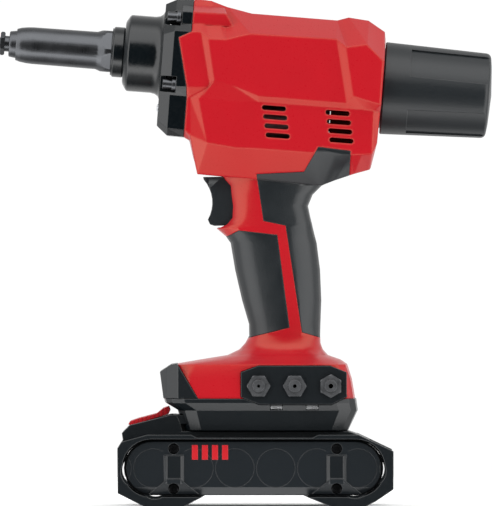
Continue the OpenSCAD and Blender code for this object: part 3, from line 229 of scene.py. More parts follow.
class Finish(Nodes):
    """One procedural finish: nodes round a Principled shader, on Object coordinates."""

    def __init__(self, name):
        self.material = bpy.data.materials.new(name)
        self.material.use_nodes = True
        super().__init__(self.material.node_tree)
        self.shader = self.first("BSDF_PRINCIPLED")
        self.place = self.add("ShaderNodeTexCoord").outputs["Object"]

    def noise(self, scale, detail=2.0, roughness=0.5, place=None):
        values = {"Vector": place or self.place, "Scale": scale, "Detail": detail, "Roughness": roughness}
        return self.fill(self.add("ShaderNodeTexNoise"), values)["Fac"]

    def mix(self, factor, a, b):
        node = self.add("ShaderNodeMix", data_type="RGBA")
        # A colour mix has its factor and its two colours at these places among all its inputs
        for value, place in ((factor, 0), (a, 6), (b, 7)):
            self.put(value, node.inputs[place])
        return node.outputs[2]

    def tone(self, value, factor):
        return (*(min(1.0, c * factor) for c in value), 1.0)

    def along(self, place, turn):
        """Object coordinates measured from a place, turned about Y."""
        values = {"Vector": self.place, "Location": place, "Rotation": (0.0, turn, 0.0)}
        return self.fill(self.add("ShaderNodeMapping", vector_type="TEXTURE"), values)["Vector"]

    def edges(self, radius):
        """1 on edges and 0 on open faces."""
        gain = 7.0
        softened = self.fill(self.add("ShaderNodeBevel", samples=4), {"Radius": radius})["Normal"]
        dot = self.add("ShaderNodeVectorMath", operation="DOT_PRODUCT")
        self.put(softened, dot.inputs[0])
        self.put(self.add("ShaderNodeNewGeometry").outputs["Normal"], dot.inputs[1])
        return self.times(self.less(1.0, dot.outputs["Value"]), gain, clamp=True)

    def worn(self, radius, scale, detail, source, least):
        """Edges rubbed in patches, down to a least share."""
        patches = self.span(self.noise(scale, detail), source, (least, 1.0))
        return self.times(self.edges(radius), patches)

    def rounded(self, radius, above=None):
        """Normals that run softly over edges, less so below a height where one is given."""
        fade, small = 12.0 * MM, 0.35 * MM
        if above is not None:
            radius = self.span(self.parts(self.place)["Z"], (above, above + fade), (small, radius))
        return self.fill(self.add("ShaderNodeBevel", samples=8), {"Radius": radius})["Normal"]

    def bump(self, height, distance, under=None):
        node = self.add("ShaderNodeBump")
        if under is not None:
            self.put(under, node.inputs["Normal"])
        return self.fill(node, {"Strength": 1.0, "Distance": distance, "Height": height})["Normal"]

    def finish(self, base, roughness, normal=None, **fixed):
        """Links colour, roughness and normals, and sets what is the same all over on the shader itself."""
        self.fill(self.shader, {"Base Color": base, "Roughness": roughness})
        if normal is not None:
            self.put(normal, self.shader.inputs["Normal"])
        for key, value in fixed.items():
            self.shader.inputs[key.replace("_", " ").title().replace("Ior", "IOR")].default_value = value
        return self.material


def moulded(name, base, roughness, grain=1500.0, depth=0.03 * MM, edge_wear_and_highlight=0.22, rings=None, soft=0.5 * MM,
            soft_above=None, gloss=WHITE):
    """Moulded plastic: fine grain, faint flow marks, edges polished by handling. Edges turn paler, as wear and, on
    the collector, as a painted highlight; groove lines are darkened as painted shade.
    """
    ring_depth, groove_shade_share, polish = 0.10 * MM, 0.75, 0.08
    f = Finish(name)
    flow = f.noise(scale=34.0, detail=4.0, roughness=0.55)
    speck = f.noise(scale=grain, detail=2.0, roughness=0.6)
    tint = f.mix(flow, f.tone(base, 0.90), f.tone(base, 1.08))
    rubbed = f.worn(0.6 * MM, scale=160.0, detail=3.0, source=(0.35, 0.65), least=0.2)
    pale_wear_and_highlight = tuple(min(1.0, c * 1.25 + 0.02) for c in base) + (1.0,)
    # Edges turn paler: light wear on most finishes, and a painted highlight on the collector, where the share is
    # full
    tint = f.mix(f.times(rubbed, edge_wear_and_highlight), tint, pale_wear_and_highlight)
    matt = f.span(speck, (0.2, 0.8), (roughness - 0.05, roughness + 0.06))
    normal = f.bump(speck, depth, under=f.rounded(soft, soft_above))
    if rings is not None:
        groove = rings(f)
        # Groove lines are darkened towards a quarter of the base colour: painted shade inside the grooves
        tint = f.mix(f.times(groove, groove_shade_share), tint, f.tone(base, 0.25))
        normal = f.bump(f.less(1.0, groove), ring_depth, under=normal)
    shine = f.less(matt, f.times(rubbed, polish))
    return f.finish(tint, shine, normal, specular_ior_level=0.5, specular_tint=gloss)


def coated(name, base):
    """Satin coat on a casting: soft orange peel, edges rubbed a little brighter."""
    bare_metal, bare_share = (0.07, 0.072, 0.076, 1.0), 0.35
    f = Finish(name)
    peel = f.noise(scale=620.0, detail=3.0)
    cloud = f.noise(scale=48.0, detail=3.0)
    tint = f.mix(cloud, f.tone(base, 0.85), f.tone(base, 1.2))
    rubbed = f.worn(0.5 * MM, scale=240.0, detail=3.0, source=(0.4, 0.7), least=0.0)
    tint = f.mix(f.times(rubbed, bare_share), tint, bare_metal)
    shine = f.span(peel, (0.25, 0.75), (0.15, 0.26))
    return f.finish(tint, shine, f.bump(peel, 0.03 * MM, under=f.rounded(0.5 * MM)), specular_ior_level=0.5)


def soft_rubber(name, base):
    """Moulded rubber: stippled skin with dust in it, rims darkened as painted shade along the seams round the
    grips.
    """
    f = Finish(name)
    stipple = f.add("ShaderNodeTexVoronoi", feature="SMOOTH_F1")
    dots = f.fill(stipple, {"Vector": f.place, "Scale": 1150.0})["Distance"]
    dust = f.noise(scale=70.0, detail=5.0, roughness=0.6)
    rim = f.edges(0.7 * MM)
    # Rims darken to a third of the base colour: painted shade along the seams where the grips meet the housing
    tint = f.mix(rim, f.mix(dust, f.tone(base, 0.82), f.tone(base, 1.22)), f.tone(base, 0.3))
    shine = f.math("ADD", f.span(dust, (0.3, 0.7), (0.34, 0.42)), f.times(rim, 0.4))
    normal = f.bump(dots, 0.03 * MM, under=f.rounded(0.6 * MM))
    return f.finish(tint, shine, normal, specular_ior_level=0.5, sheen_weight=0.04, sheen_roughness=0.4)


def turned_steel(name, base, roughness):
    """Steel turned about the tool's axis: fine tool marks, cloudy oxide, bright broken edges."""
    bare_metal, bare_share = (0.36, 0.365, 0.37, 1.0), 0.5
    f = Finish(name)
    axis = f.parts(f.along(HEAD_PLACE, HEAD_TILT))
    line = f.fill(f.add("ShaderNodeCombineXYZ"), {"X": axis["X"]})
    marks = f.noise(scale=2600.0, detail=3.0, roughness=0.7, place=line[0])
    cloud = f.noise(scale=120.0, detail=4.0, roughness=0.6)
    tint = f.mix(cloud, f.tone(base, 0.8), f.tone(base, 1.15))
    rubbed = f.worn(0.25 * MM, scale=300.0, detail=2.0, source=(0.35, 0.65), least=0.2)
    tint = f.mix(f.times(rubbed, bare_share), tint, bare_metal)
    matt = f.span(marks, (0.3, 0.7), (roughness - 0.06, roughness + 0.06))
    shine = f.math("ADD", matt, f.span(cloud, (0.3, 0.7), (-0.03, 0.05)))
    return f.finish(tint, shine, f.bump(marks, 0.008 * MM), metallic=1.0)


def milled_steel(name, base, roughness):
    """Plated or ground steel: fine grinding lines and spots of dulled plating."""
    f = Finish(name)
    stretch = f.fill(f.add("ShaderNodeMapping"), {"Vector": f.place, "Scale": (1.0, 1.0, 14.0)})
    lines = f.noise(scale=900.0, detail=2.0, roughness=0.6, place=stretch["Vector"])
    spots = f.noise(scale=210.0, detail=4.0, roughness=0.65)
    tint = f.mix(spots, f.tone(base, 0.78), f.tone(base, 1.1))
    tint = f.mix(f.times(f.edges(0.2 * MM), 0.35), tint, f.tone(base, 1.4))
    shine = f.span(spots, (0.3, 0.7), (roughness - 0.07, roughness + 0.09))
    return f.finish(tint, shine, f.bump(lines, 0.006 * MM), metallic=1.0)


def wound_copper(name, base):
    """Enamelled wire lying side by side."""
    f = Finish(name)
    wire = f.add("ShaderNodeTexWave", wave_type="BANDS", bands_direction="X")
    lie = f.along(HEAD_PLACE, HEAD_TILT)
    turns = f.fill(wire, {"Vector": lie, "Scale": 420.0, "Distortion": 0.6})["Fac"]
    tint = f.mix(turns, f.tone(base, 0.35), f.tone(base, 1.1))
    shine = f.span(f.noise(scale=300.0), (0.3, 0.7), (0.25, 0.4))
    return f.finish(tint, shine, f.bump(turns, 0.15 * MM), metallic=0.9)


def printed_board(name, base):
    """Solder resist over copper tracks."""
    f = Finish(name)
    pattern = {"Vector": f.place, "Scale": 240.0, "Mortar Size": 0.03}
    tracks = f.fill(f.add("ShaderNodeTexBrick"), pattern)["Fac"]
    tint = f.mix(tracks, f.tone(base, 0.8), f.tone(base, 2.2))
    shine = f.span(f.noise(scale=500.0), (0.3, 0.7), (0.28, 0.4))
    return f.finish(tint, shine, f.bump(tracks, 0.03 * MM))


def shrink_wrap(name, base):
    """Thin glossy film with small wrinkles."""
    f = Finish(name)
    wrinkle = f.noise(scale=260.0, detail=4.0, roughness=0.55)
    tint = f.mix(f.noise(scale=60.0), f.tone(base, 0.8), f.tone(base, 1.2))
    shine = f.span(wrinkle, (0.3, 0.7), (0.2, 0.34))
    return f.finish(tint, shine, f.bump(wrinkle, 0.05 * MM), coat_weight=0.3)


def clear_lens(name, base):
    """Clear moulded lens with a frosted back."""
    f = Finish(name)
    frost = f.noise(scale=800.0)
    tint = f.mix(f.noise(scale=150.0), f.tone(base, 0.9), f.tone(base, 1.0))
    shine = f.span(frost, (0.3, 0.7), (0.08, 0.2))
    return f.finish(tint, shine, f.bump(frost, 0.01 * MM), transmission_weight=0.5, ior=1.49)


def cell_rings(f):
    """The ring line round each cell, left off where the straps lie."""
    sizes = bpy.context.scene.tool_sizes
    half = sizes.cell_pitch / 2
    x, _, z = f.parts(f.place)
    across = f.math("WRAP", f.less(x, BETWEEN_CELLS_X - half), half, -half)
    up = f.less(z, CELL_Z)
    far = f.math("SQRT", f.math("ADD", f.times(across, across), f.times(up, up)))
    off = f.math("ABSOLUTE", f.less(far, sizes.cell_ring))
    line = f.span(off, (0.06 * MM, 0.16 * MM), (1.0, 0.0))
    for middle in COVER_SCREW_X:
        aside = f.math("ABSOLUTE", f.less(x, STAND_X + middle))
        line = f.times(line, f.math("GREATER_THAN", aside, STRAP_CLEAR))
    return line


def button_ribs(f):
    """Ribs across the release button, where a thumb lies."""
    rib = 2.3 * MM
    x, _, z = f.parts(f.place)
    wave = f.math("SINE", f.times(x, 2.0 * math.pi / rib))
    return f.times(f.span(wave, (0.2, 0.9), (0.0, 1.0)), f.span(z, (45.5 * MM, 46.5 * MM), (0.0, 0.6)))


def make_finishes():
    """Builds every finish once, from the scene's colours."""
    c = bpy.context.scene.tool_colours
    finishes.clear()
    finishes.update(
        red_shell=moulded("red_shell_grain", c.red_shell, 0.30, depth=0.012 * MM, edge_wear_and_highlight=0.08, soft=1.8 * MM,
                          soft_above=SOFT_ABOVE, gloss=(1.0, 0.80, 0.52, 1.0)),
        black_cast=coated("black_cast_coat", c.black_cast),
        black_shell=moulded("black_shell_grain", c.black_shell, 0.34),
        battery_cover=moulded("battery_cover_grain", c.battery_cover, 0.34, grain=1900.0, rings=cell_rings),
        # The collector's full edge share paints pale highlight lines along its edges
        collector_shell=moulded("collector_satin", c.collector_shell, 0.40, grain=1200.0, depth=0.02 * MM,
                                edge_wear_and_highlight=1.0),
        grip_rubber=soft_rubber("grip_rubber_skin", c.grip_rubber),
        trigger_shell=moulded("trigger_satin", c.trigger_shell, 0.40, grain=1300.0, depth=0.02 * MM),
        sleeve_steel=turned_steel("sleeve_black_oxide", c.sleeve_steel, 0.30),
        spare_steel=milled_steel("spare_nosepiece_steel", c.spare_steel, 0.52),
        bright_steel=milled_steel("bright_plated_steel", c.bright_steel, 0.30),
        screw_steel=milled_steel("screw_black_oxide", c.screw_steel, 0.26),
        gear_steel=milled_steel("gear_ground_steel", c.gear_steel, 0.34),
        case_alloy=milled_steel("case_cast_alloy", c.case_alloy, 0.46),
        copper=wound_copper("copper_windings", c.copper),
        contact_brass=milled_steel("contact_brass", c.brass, 0.26),
        board=printed_board("board_resist", c.board),
        cell_wrap=shrink_wrap("cell_wrap_film", c.cell_wrap),
        lens=clear_lens("lens_clear", c.lens),
        button_red=moulded("button_red_ribs", c.button_red, 0.34, grain=1300.0, depth=0.02 * MM,
                           rings=button_ribs),
        mark_red=moulded("mark_red_print", c.button_red, 0.40, grain=1300.0, depth=0.01 * MM),
    )


def finish_of(name):
    """A finish by its name; all are built when the first one is asked for."""
    if not finishes:
        make_finishes()
    return finishes[name]


def new_piece(name, bm, finish, body, smooth=32.0):
    """A piece from a finished bmesh: smooth by angle, with its finish, riding on its body."""
    limit = smooth if callable(smooth) else lambda edge: smooth
    for face in bm.faces:
        face.smooth = True
    for edge in bm.edges:
        edge.smooth = edge.calc_face_angle(0.0) < math.radians(limit(edge))
    mesh = bpy.data.meshes.new(name)
    bm.to_mesh(mesh)
    bm.free()
    piece = bpy.data.objects.new(name, mesh)
    bpy.context.scene.collection.objects.link(piece)
    mesh.materials.clear()
    mesh.materials.append(finish_of(finish))
    even = piece.modifiers.new("even_normals", "WEIGHTED_NORMAL")
    even.keep_sharp = True
    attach(piece, body)
    return piece


def bevel(bm, edges, offset, segments=2, clamp=False):
    """Rounds edges, with the faces' own material on the rounding."""
    bmesh.ops.bevel(
        bm, geom=edges, offset=offset, offset_type="OFFSET", segments=segments, profile=0.5,
        affect="EDGES", clamp_overlap=clamp, material=-1,
    )


def roomy(edge, room):
    """Whether an edge and those round its ends are long enough to be rounded."""
    near = {e for face in edge.link_faces for e in face.edges if set(e.verts) & set(edge.verts)}
    return all(e.calc_length() > room for e in near)


def close_window(bm):
    """Closes the window that the bore of the carrier leaves in the lower bevel of the front housing."""
    reach, play, level_with, wall = 7.0 * MM, 0.03 * MM, 0.999, 0.6 * MM
    fewest_edges = 6
    low_bevels = (f for f in bm.faces if f.normal.x < -0.5 and f.normal.z < -0.5)
    face = max(low_bevels, key=lambda f: f.calc_area())
    outward, level = face.normal.copy(), face.normal.dot(face.verts[0].co)

    def flush(other):
        return other.normal.dot(outward) > level_with

    def on_bevel(vert):
        return abs(outward.dot(vert.co) - level) < play and abs(vert.co.y) < reach

    rim = [
        e for e in bm.edges
        if all(on_bevel(v) for v in e.verts) and sum(flush(f) for f in e.link_faces) == 1
    ]
    if len(rim) < fewest_edges:
        raise RuntimeError("the window in the front housing wasn't found")
    bmesh.ops.split_edges(bm, edges=rim)
    caps = bmesh.ops.holes_fill(bm, edges=[e for e in bm.edges if e.is_boundary], sides=0)["faces"]
    for cap in caps:
        beside = [f for e in cap.edges for f in e.link_faces if f is not cap]
        # The cap on the bore's side goes in by the thickness of the wall
        if not any(flush(f) for f in beside):
            bmesh.ops.translate(bm, vec=outward * -wall, verts=cap.verts)
    bmesh.ops.recalc_face_normals(bm, faces=bm.faces)


def dress(node, finish, edge, angle=30.0, segments=2, smooth=34.0, mend=None):
    """A copy of a solid with its convex edges rounded, which stands for the solid."""
    weld, flat, room = 2e-6, math.radians(0.3), 2.5 * edge
    bm = bmesh.new()
    bm.from_mesh(frame["nodes"][node].data)
    bmesh.ops.remove_doubles(bm, verts=bm.verts, dist=weld)
    bmesh.ops.dissolve_limit(bm, angle_limit=flat, verts=bm.verts, edges=bm.edges)
    if mend is not None:
        mend(bm)
    # Hollow faces are split before and after the rounding, so that they fill cleanly
    bmesh.ops.connect_verts_concave(bm, faces=bm.faces)
    if edge > 0.0:
        limit = math.radians(angle)
        sharp = [e for e in bm.edges if len(e.link_faces) == 2 and e.calc_face_angle_signed(0.0) > limit]
        bevel(bm, [e for e in sharp if roomy(e, room)], edge, segments)
        bmesh.ops.connect_verts_concave(bm, faces=bm.faces)
    piece = new_piece(node + "_piece", bm, finish, body_of_node[node], smooth)
    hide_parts(node)
    return piece


def paint(node, finish):
    """Gives a solid that stays as it is its finish."""
    materials = frame["nodes"][node].data.materials
    materials.clear()
    materials.append(finish_of(finish))


def lift(bm, verts, height):
    """Moves vertices along +Z."""
    bmesh.ops.translate(bm, verts=verts, vec=(0.0, 0.0, height))


def star_head(bm, radius, height, recess, depth, dome):
    """A screw head along +Z from 0 to its height, with a six-lobed recess in its top."""
    shoulder, lobe_depth = 0.18 * radius, 0.14
    disc = bmesh.ops.create_circle(bm, cap_ends=True, segments=24, radius=radius)
    face = disc["verts"][0].link_faces[0]
    if face.normal.z < 0:
        bmesh.ops.reverse_faces(bm, faces=[face])
    lift(bm, disc["verts"], height - dome)
    bmesh.ops.inset_region(bm, faces=[face], thickness=shoulder, use_boundary=True, use_even_offset=True)
    lift(bm, face.verts, dome)
    ring = radius - shoulder - recess
    bmesh.ops.inset_region(bm, faces=[face], thickness=ring, use_boundary=True, use_even_offset=True)
    for vert in face.verts:
        lobe = 1.0 - lobe_depth * (1.0 - math.cos(6.0 * math.atan2(vert.co.y, vert.co.x)))
        bmesh.ops.scale(bm, vec=(lobe, lobe, 1.0), verts=[vert])
    hollow = bmesh.ops.extrude_face_region(bm, geom=[face])
    lift(bm, [g for g in hollow["geom"] if isinstance(g, bmesh.types.BMVert)], -depth)
    bmesh.ops.delete(bm, geom=[face], context="FACES_ONLY")
    skirt = bmesh.ops.extrude_edge_only(bm, edges=[e for e in bm.edges if e.is_boundary])
    lift(bm, [g for g in skirt["geom"] if isinstance(g, bmesh.types.BMVert)], dome - height)
    bmesh.ops.contextual_create(bm, geom=[e for e in bm.edges if e.is_boundary])
    bmesh.ops.recalc_face_normals(bm, faces=bm.faces)


def collar(bm, radius, height):
    """A round collar along +Z from 0 to its height, with broken edges."""
    broken, steep = 0.14 * height, 1.0
    bmesh.ops.create_cone(bm, cap_ends=True, segments=32, radius1=radius, radius2=radius, depth=height)
    lift(bm, bm.verts, height / 2)
    bevel(bm, [e for e in bm.edges if e.calc_face_angle(0.0) > steep], broken)


def strap(bm, width, height, thick, low):
    """A flat strap along +Z from 0 to its thickness: bevelled sides, a longer slope at its upper end."""
    top_share, slope, round_edge = 0.64, 0.16 * height, 0.25 * MM
    bar = bmesh.ops.create_cube(bm, size=1.0)["verts"]
    bmesh.ops.scale(bm, vec=(width, height, thick), verts=bar)
    lift(bm, bar, thick / 2)
    face = [v for v in bar if v.co.z > thick / 2]
    bmesh.ops.scale(bm, vec=(top_share, 1.0, 1.0), verts=face)
    upper = [v for v in face if v.co.y * low < 0.0]
    bmesh.ops.translate(bm, vec=(0.0, low * slope, 0.0), verts=upper)
    bevel(bm, [e for e in bm.edges if e.verts[0] in face or e.verts[1] in face], round_edge)


def placed(make, at, **sizes):
    """One small part, made along +Z and put in its place."""
    bm = bmesh.new()
    make(bm, **sizes)
    bmesh.ops.transform(bm, matrix=at, verts=bm.verts)
    return bm


def joined(parts):
    """Several small parts of one piece in one bmesh."""
    whole = bmesh.new()
    for bm in parts:
        mesh = bpy.data.meshes.new("part")
        bm.to_mesh(mesh)
        bm.free()
        whole.from_mesh(mesh)
        bpy.data.meshes.remove(mesh)
    return whole


def facing(x, seat, z, side):
    """Places +Z of a small part outwards on the left (-1) or right (+1) side of the tool."""
    return Matrix.Translation((STAND_X + x, side * seat, z)) @ Matrix.Rotation(-side * math.pi / 2, 4, "X")


def crisp_head(edge):
    """The head's panels meet in crisp creases; handle and foot run on smoothly."""
    crisp, smooth = 7.0, 36.0
    return crisp if (edge.verts[0].co.z + edge.verts[1].co.z) / 2 > CRISP_ABOVE else smooth


class DressHousing(bpy.types.Operator):
    """Rounds the red housing halves and gives them their grain"""

    bl_idname = "rivet_tool.dress_housing"
    bl_label = "Dress Housing"

    def execute(self, context):
        edge = context.scene.tool_sizes.shell_edge
        for node in ("housing_left", "housing_right"):
            dress(node, "red_shell", edge, angle=40.0, smooth=crisp_head)
        paint("housing_screws", "bright_steel")
        return {"FINISHED"}


class DressFront(bpy.types.Operator):
    """Rounds the front housing and the bell, lock collar, sleeve and nosepiece before it"""

    bl_idname = "rivet_tool.dress_front"
    bl_label = "Dress Front"

    def execute(self, context):
        sizes = context.scene.tool_sizes
        dress("front_housing", "black_cast", sizes.cast_edge, smooth=8.0, mend=close_window)
        dress("bell", "black_cast", 0.0, smooth=36.0)
        dress("lock_collar", "black_cast", sizes.steel_edge, smooth=36.0)
        for node in ("sleeve", "nosepiece"):
            dress(node, "sleeve_steel", sizes.steel_edge, smooth=30.0)
        paint("work_light_lens", "lens")
        return {"FINISHED"}


class DressGrips(bpy.types.Operator):
    """Gives the soft grips their rounded rims and rubber skin"""

    bl_idname = "rivet_tool.dress_grips"
    bl_label = "Dress Grips"

    def execute(self, context):
        edge = context.scene.tool_sizes.rubber_edge
        for node in ("grip_front_left", "grip_front_right", "grip_rear_left", "grip_rear_right"):
            dress(node, "grip_rubber", edge, angle=50.0, smooth=40.0)
        return {"FINISHED"}


class DressTrigger(bpy.types.Operator):
    """Rounds the trigger and dresses its spring"""

    bl_idname = "rivet_tool.dress_trigger"
    bl_label = "Dress Trigger"

    def execute(self, context):
        edge = context.scene.tool_sizes.trigger_edge
        dress("trigger", "trigger_shell", edge, angle=35.0, segments=3, smooth=40.0)
        spring = dress("trigger_spring", "bright_steel", 0.0, smooth=50.0)
        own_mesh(spring)
        return {"FINISHED"}


class DressFoot(bpy.types.Operator):
    """Dresses the dock, the cap of the foot and the rack with its spare nosepieces"""

    bl_idname = "rivet_tool.dress_foot"
    bl_label = "Dress Foot"

    def execute(self, context):
        sizes = context.scene.tool_sizes
        for node in ("dock", "foot_cap", "rack"):
            dress(node, "black_shell", sizes.battery_edge, smooth=11.0)
        dress("spare_nosepieces", "spare_steel", sizes.steel_edge, smooth=24.0)
        dress("rack_clips", "bright_steel", sizes.steel_edge)
        return {"FINISHED"}


class DressCollector(bpy.types.Operator):
    """Dresses the collector and the socket that it turns on"""

    bl_idname = "rivet_tool.dress_collector"
    bl_label = "Dress Collector"

    def execute(self, context):
        dress("collector", "collector_shell", 0.0, smooth=30.0)
        paint("collector_socket", "black_shell")
        paint("socket_seal", "grip_rubber")
        return {"FINISHED"}


class DressBattery(bpy.types.Operator):
    """Dresses the battery: case, covers with cell rings, bumpers, top and release button"""

    bl_idname = "rivet_tool.dress_battery"
    bl_label = "Dress Battery"

    def execute(self, context):
        edge = context.scene.tool_sizes.battery_edge
        for node in ("battery_case", "battery_top", "bumper_left", "bumper_right"):
            dress(node, "black_shell", edge, smooth=14.0)
        for node in ("battery_cover_left", "battery_cover_right"):
            dress(node, "battery_cover", edge, smooth=14.0)
        dress("release_button", "button_red", edge, smooth=26.0)
        return {"FINISHED"}


class AddStraps(bpy.types.Operator):
    """Adds the raised straps of the battery covers"""

    bl_idname = "rivet_tool.add_straps"
    bl_label = "Add Straps"

    def execute(self, context):
        size = dict(width=context.scene.tool_sizes.strap_width, height=STRAP_HEIGHT, thick=STRAP_THICK)
        parts = [
            placed(strap, facing(x, STRAP_SEAT, STRAP_Z, side), low=-side, **size)
            for side in (-1, 1) for x in STRAP_X
        ]
        new_piece("cover_straps", joined(parts), "black_shell", "battery", smooth=14.0)
        return {"FINISHED"}


class AddScrews(bpy.types.Operator):
    """Adds the star-recess screws of the battery covers and the collared screws of the front housing"""

    bl_idname = "rivet_tool.add_screws"
    bl_label = "Add Screws"

    def execute(self, context):
        parts = [
            placed(star_head, facing(x, COVER_SCREW_SEAT, z, side), **COVER_HEAD)
            for side in (-1, 1) for x in COVER_SCREW_X for z in COVER_SCREW_Z
        ]
        piece = new_piece("cover_screws", joined(parts), "screw_steel", "battery")
        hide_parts("battery_screws")
        parts = []
        forward = Matrix.Rotation(-math.pi / 2, 4, "Y")
        for side in (-1, 1):
            for y, z in FRONT_SCREWS:
                at = HEAD @ Matrix.Translation((FRONT_SCREW_SEAT, side * y, z)) @ forward
                parts.append(placed(collar, at, **FRONT_COLLAR))
                parts.append(placed(star_head, at, **FRONT_HEAD))
        body = body_of_node["front_screws"]
        piece = new_piece("front_screw_heads", joined(parts), "sleeve_steel", body)
        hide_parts("front_screws")
        return {"FINISHED"}


class AddMarks(bpy.types.Operator):
    """Adds four plain charge marks on each battery cover"""

    bl_idname = "rivet_tool.add_marks"
    bl_label = "Add Marks"

    def execute(self, context):
        round_edge = 0.12 * MM
        height = context.scene.tool_sizes.bar_height
        whole = bmesh.new()
        for side in (-1, 1):
            for i in range(MARK_COUNT):
                bar = bmesh.ops.create_cube(whole, size=1.0)["verts"]
                bmesh.ops.scale(whole, vec=(MARK_WIDTH, MARK_THICK, height), verts=bar)
                place = (STAND_X + MARK_X + MARK_STEP * i, side * MARK_SEAT, MARK_Z)
                bmesh.ops.translate(whole, vec=place, verts=bar)
        bevel(whole, list(whole.edges), round_edge, clamp=True)
        new_piece("charge_marks", whole, "mark_red", "battery")
        return {"FINISHED"}


class FinishWorks(bpy.types.Operator):
    """Gives the works inside their finishes"""

    bl_idname = "rivet_tool.finish_works"
    bl_label = "Finish Works"

    def execute(self, context):
        groups = {
            "bright_steel": ("mandrel_tube", "motor_bearings", "nut_bearings", "jaw_housing",
                             "jaw_spring", "guide_rails", "spindle"),
            "gear_steel": ("rotor", "ring_gear", "planet_a", "planet_b", "planet_c", "drive_gear",
                           "ball_nut", "guide_block", "jaws", "jaw_pusher"),
            "case_alloy": ("motor_can", "gear_case"),
            "copper": ("stator",),
            "black_shell": ("switch_module", "motor_fan"),
            "board": ("control_board", "battery_board"),
            "contact_brass": ("dock_terminals", "battery_terminals"),
            "cell_wrap": ("battery_cells",),
        }
        for finish, nodes in groups.items():
            for node in nodes:
                paint(node, finish)
        dress("carrier", "gear_steel", 0.0, smooth=30.0, mend=self.taper)
        return {"FINISHED"}

    def taper(self, bm):
        """Tapers the carrier's front end, so that it stays behind the lower bevel of the front housing."""
        start, tip, tip_radius, slope, play = -8.0 * MM, -11.8 * MM, 8.0 * MM, 0.81, 0.01 * MM
        turn = joint_of_name["carrier_turn"]
        middle, axis = Vector(turn["pos_m"]), Vector(turn["axis"])
        bmesh.ops.bisect_plane(
            bm, geom=[*bm.verts, *bm.edges, *bm.faces], dist=1e-7,
            plane_co=middle + axis * start, plane_no=axis,
        )
        for vert in bm.verts:
            along = (vert.co - middle).dot(axis)
            out = vert.co - middle - axis * along
            room = tip_radius + (along - tip) * slope
            if along < start + play and out.length > room:
                vert.co = middle + axis * along + out * (room / out.length)


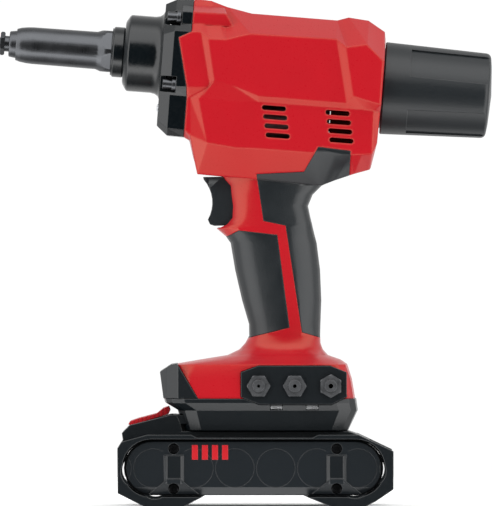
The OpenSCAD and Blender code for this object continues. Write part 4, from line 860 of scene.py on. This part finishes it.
class BuildStudio(bpy.types.Operator):
    """Builds the pale floor, the white tent and the camera"""

    bl_idname = "rivet_tool.build_studio"
    bl_label = "Build Studio"

    def execute(self, context):
        scene = context.scene
        studio = scene.tool_studio
        scene.view_settings.view_transform = "Standard"
        self.floor(scene)
        self.tent(scene, studio)
        self.camera(scene, studio)
        return {"FINISHED"}

    def floor(self, scene):
        radius, drop = 0.9, -0.2 * MM
        bm = bmesh.new()
        bmesh.ops.create_circle(bm, cap_ends=True, segments=96, radius=radius)
        lift(bm, bm.verts, drop)
        bmesh.ops.recalc_face_normals(bm, faces=bm.faces)
        mesh = bpy.data.meshes.new("studio_floor")
        bm.to_mesh(mesh)
        bm.free()
        floor = bpy.data.objects.new("studio_floor", mesh)
        scene.collection.objects.link(floor)
        f = Finish("studio_paper")
        grain = f.noise(scale=40.0, detail=3.0)
        tint = f.mix(grain, f.tone(WHITE[:3], 0.90), f.tone(WHITE[:3], 0.93))
        mesh.materials.append(f.finish(tint, f.span(grain, (0.3, 0.7), (0.8, 0.9)), specular_ior_level=0.1))
        # The floor is hidden from the tool's light, so the tent lights the tool from below as from above
        for ray in ("diffuse", "glossy", "transmission", "shadow"):
            setattr(floor, "visible_" + ray, False)

    def tent(self, scene, studio):
        world = bpy.data.worlds.new("white_tent")
        scene.world = world
        world.use_nodes = True
        w = Nodes(world.node_tree)
        sky = w.first("BACKGROUND")
        sky.inputs["Color"].default_value = WHITE
        backdrop_light, hole_light, hole_rim, widening = 1.03, 0.03, 0.08, 0.12
        _, y, z = w.parts(w.add("ShaderNodeTexCoord").outputs["Generated"])
        # The tent opens round the camera, wider below it
        height = w.times(w.math("MINIMUM", z, 0.0), widening)
        rim = (-studio.opening - hole_rim, -studio.opening)
        opening = w.span(w.math("ADD", y, height), rim, (hole_light, 1.0))
        back = w.span(y, (-0.20, 0.20), (studio.tent_light, studio.back_light))
        # The table's edge is white below the tool, and dark straight under it
        under = w.span(z, (-0.95, -0.82), (studio.table_light, 1.0))
        table = w.times(under, w.span(z, (-0.70, -0.45), (1.25, 1.0)))
        light = w.times(w.times(opening, back), table)
        # A white screen stands far behind the tool, and the camera sees white all round
        screen = w.span(y, (0.88, 0.95), (0.0, backdrop_light))
        backdrop = w.times(w.add("ShaderNodeLightPath").outputs["Is Camera Ray"], backdrop_light)
        w.put(w.math("MAXIMUM", w.math("MAXIMUM", light, screen), backdrop), sky.inputs["Strength"])

    def camera(self, scene, studio):
        aside, lower, sensor = 0.98 * MM, 0.28 * MM, 36.0
        data = bpy.data.cameras.new("photo_camera")
        camera = bpy.data.objects.new("photo_camera", data)
        scene.collection.objects.link(camera)
        camera.location = (aside, -studio.camera_distance, studio.frame_height / 2 - lower)
        camera.rotation_euler = (math.pi / 2, 0.0, 0.0)
        data.sensor_width = sensor
        data.lens = sensor * studio.camera_distance / studio.frame_height
        data.clip_start, data.clip_end = 0.1, 100.0
        scene.camera = camera


class ToolPanel(bpy.types.Panel):
    """Lists the steps that dress the tool"""

    bl_idname = "VIEW3D_PT_rivet_tool"
    bl_label = "Rivet Tool"
    bl_space_type = "VIEW_3D"
    bl_region_type = "UI"
    bl_category = "Rivet Tool"

    def draw(self, context):
        for group in (context.scene.tool_colours, context.scene.tool_sizes, context.scene.tool_studio):
            box = self.layout.box()
            for name in group.__annotations__:
                box.prop(group, name)
        for step in STEPS:
            self.layout.operator(step.bl_idname)


STEPS = (
    DressHousing, DressFront, DressGrips, DressTrigger, DressFoot, DressCollector, DressBattery, AddStraps,
    AddScrews, AddMarks, FinishWorks, BuildStudio,
)
CLASSES = (ToolColours, ToolSizes, StudioSizes, *STEPS, ToolPanel)


def register():
    for cls in CLASSES:
        bpy.utils.register_class(cls)
    bpy.types.Scene.tool_colours = bpy.props.PointerProperty(type=ToolColours)
    bpy.types.Scene.tool_sizes = bpy.props.PointerProperty(type=ToolSizes)
    bpy.types.Scene.tool_studio = bpy.props.PointerProperty(type=StudioSizes)


def unregister():
    del bpy.types.Scene.tool_studio
    del bpy.types.Scene.tool_sizes
    del bpy.types.Scene.tool_colours
    for cls in reversed(CLASSES):
        bpy.utils.unregister_class(cls)


def main():
    register()
    for step in STEPS:
        group, name = step.bl_idname.split(".")
        getattr(getattr(bpy.ops, group), name)()


if __name__ == "__main__":
    main()
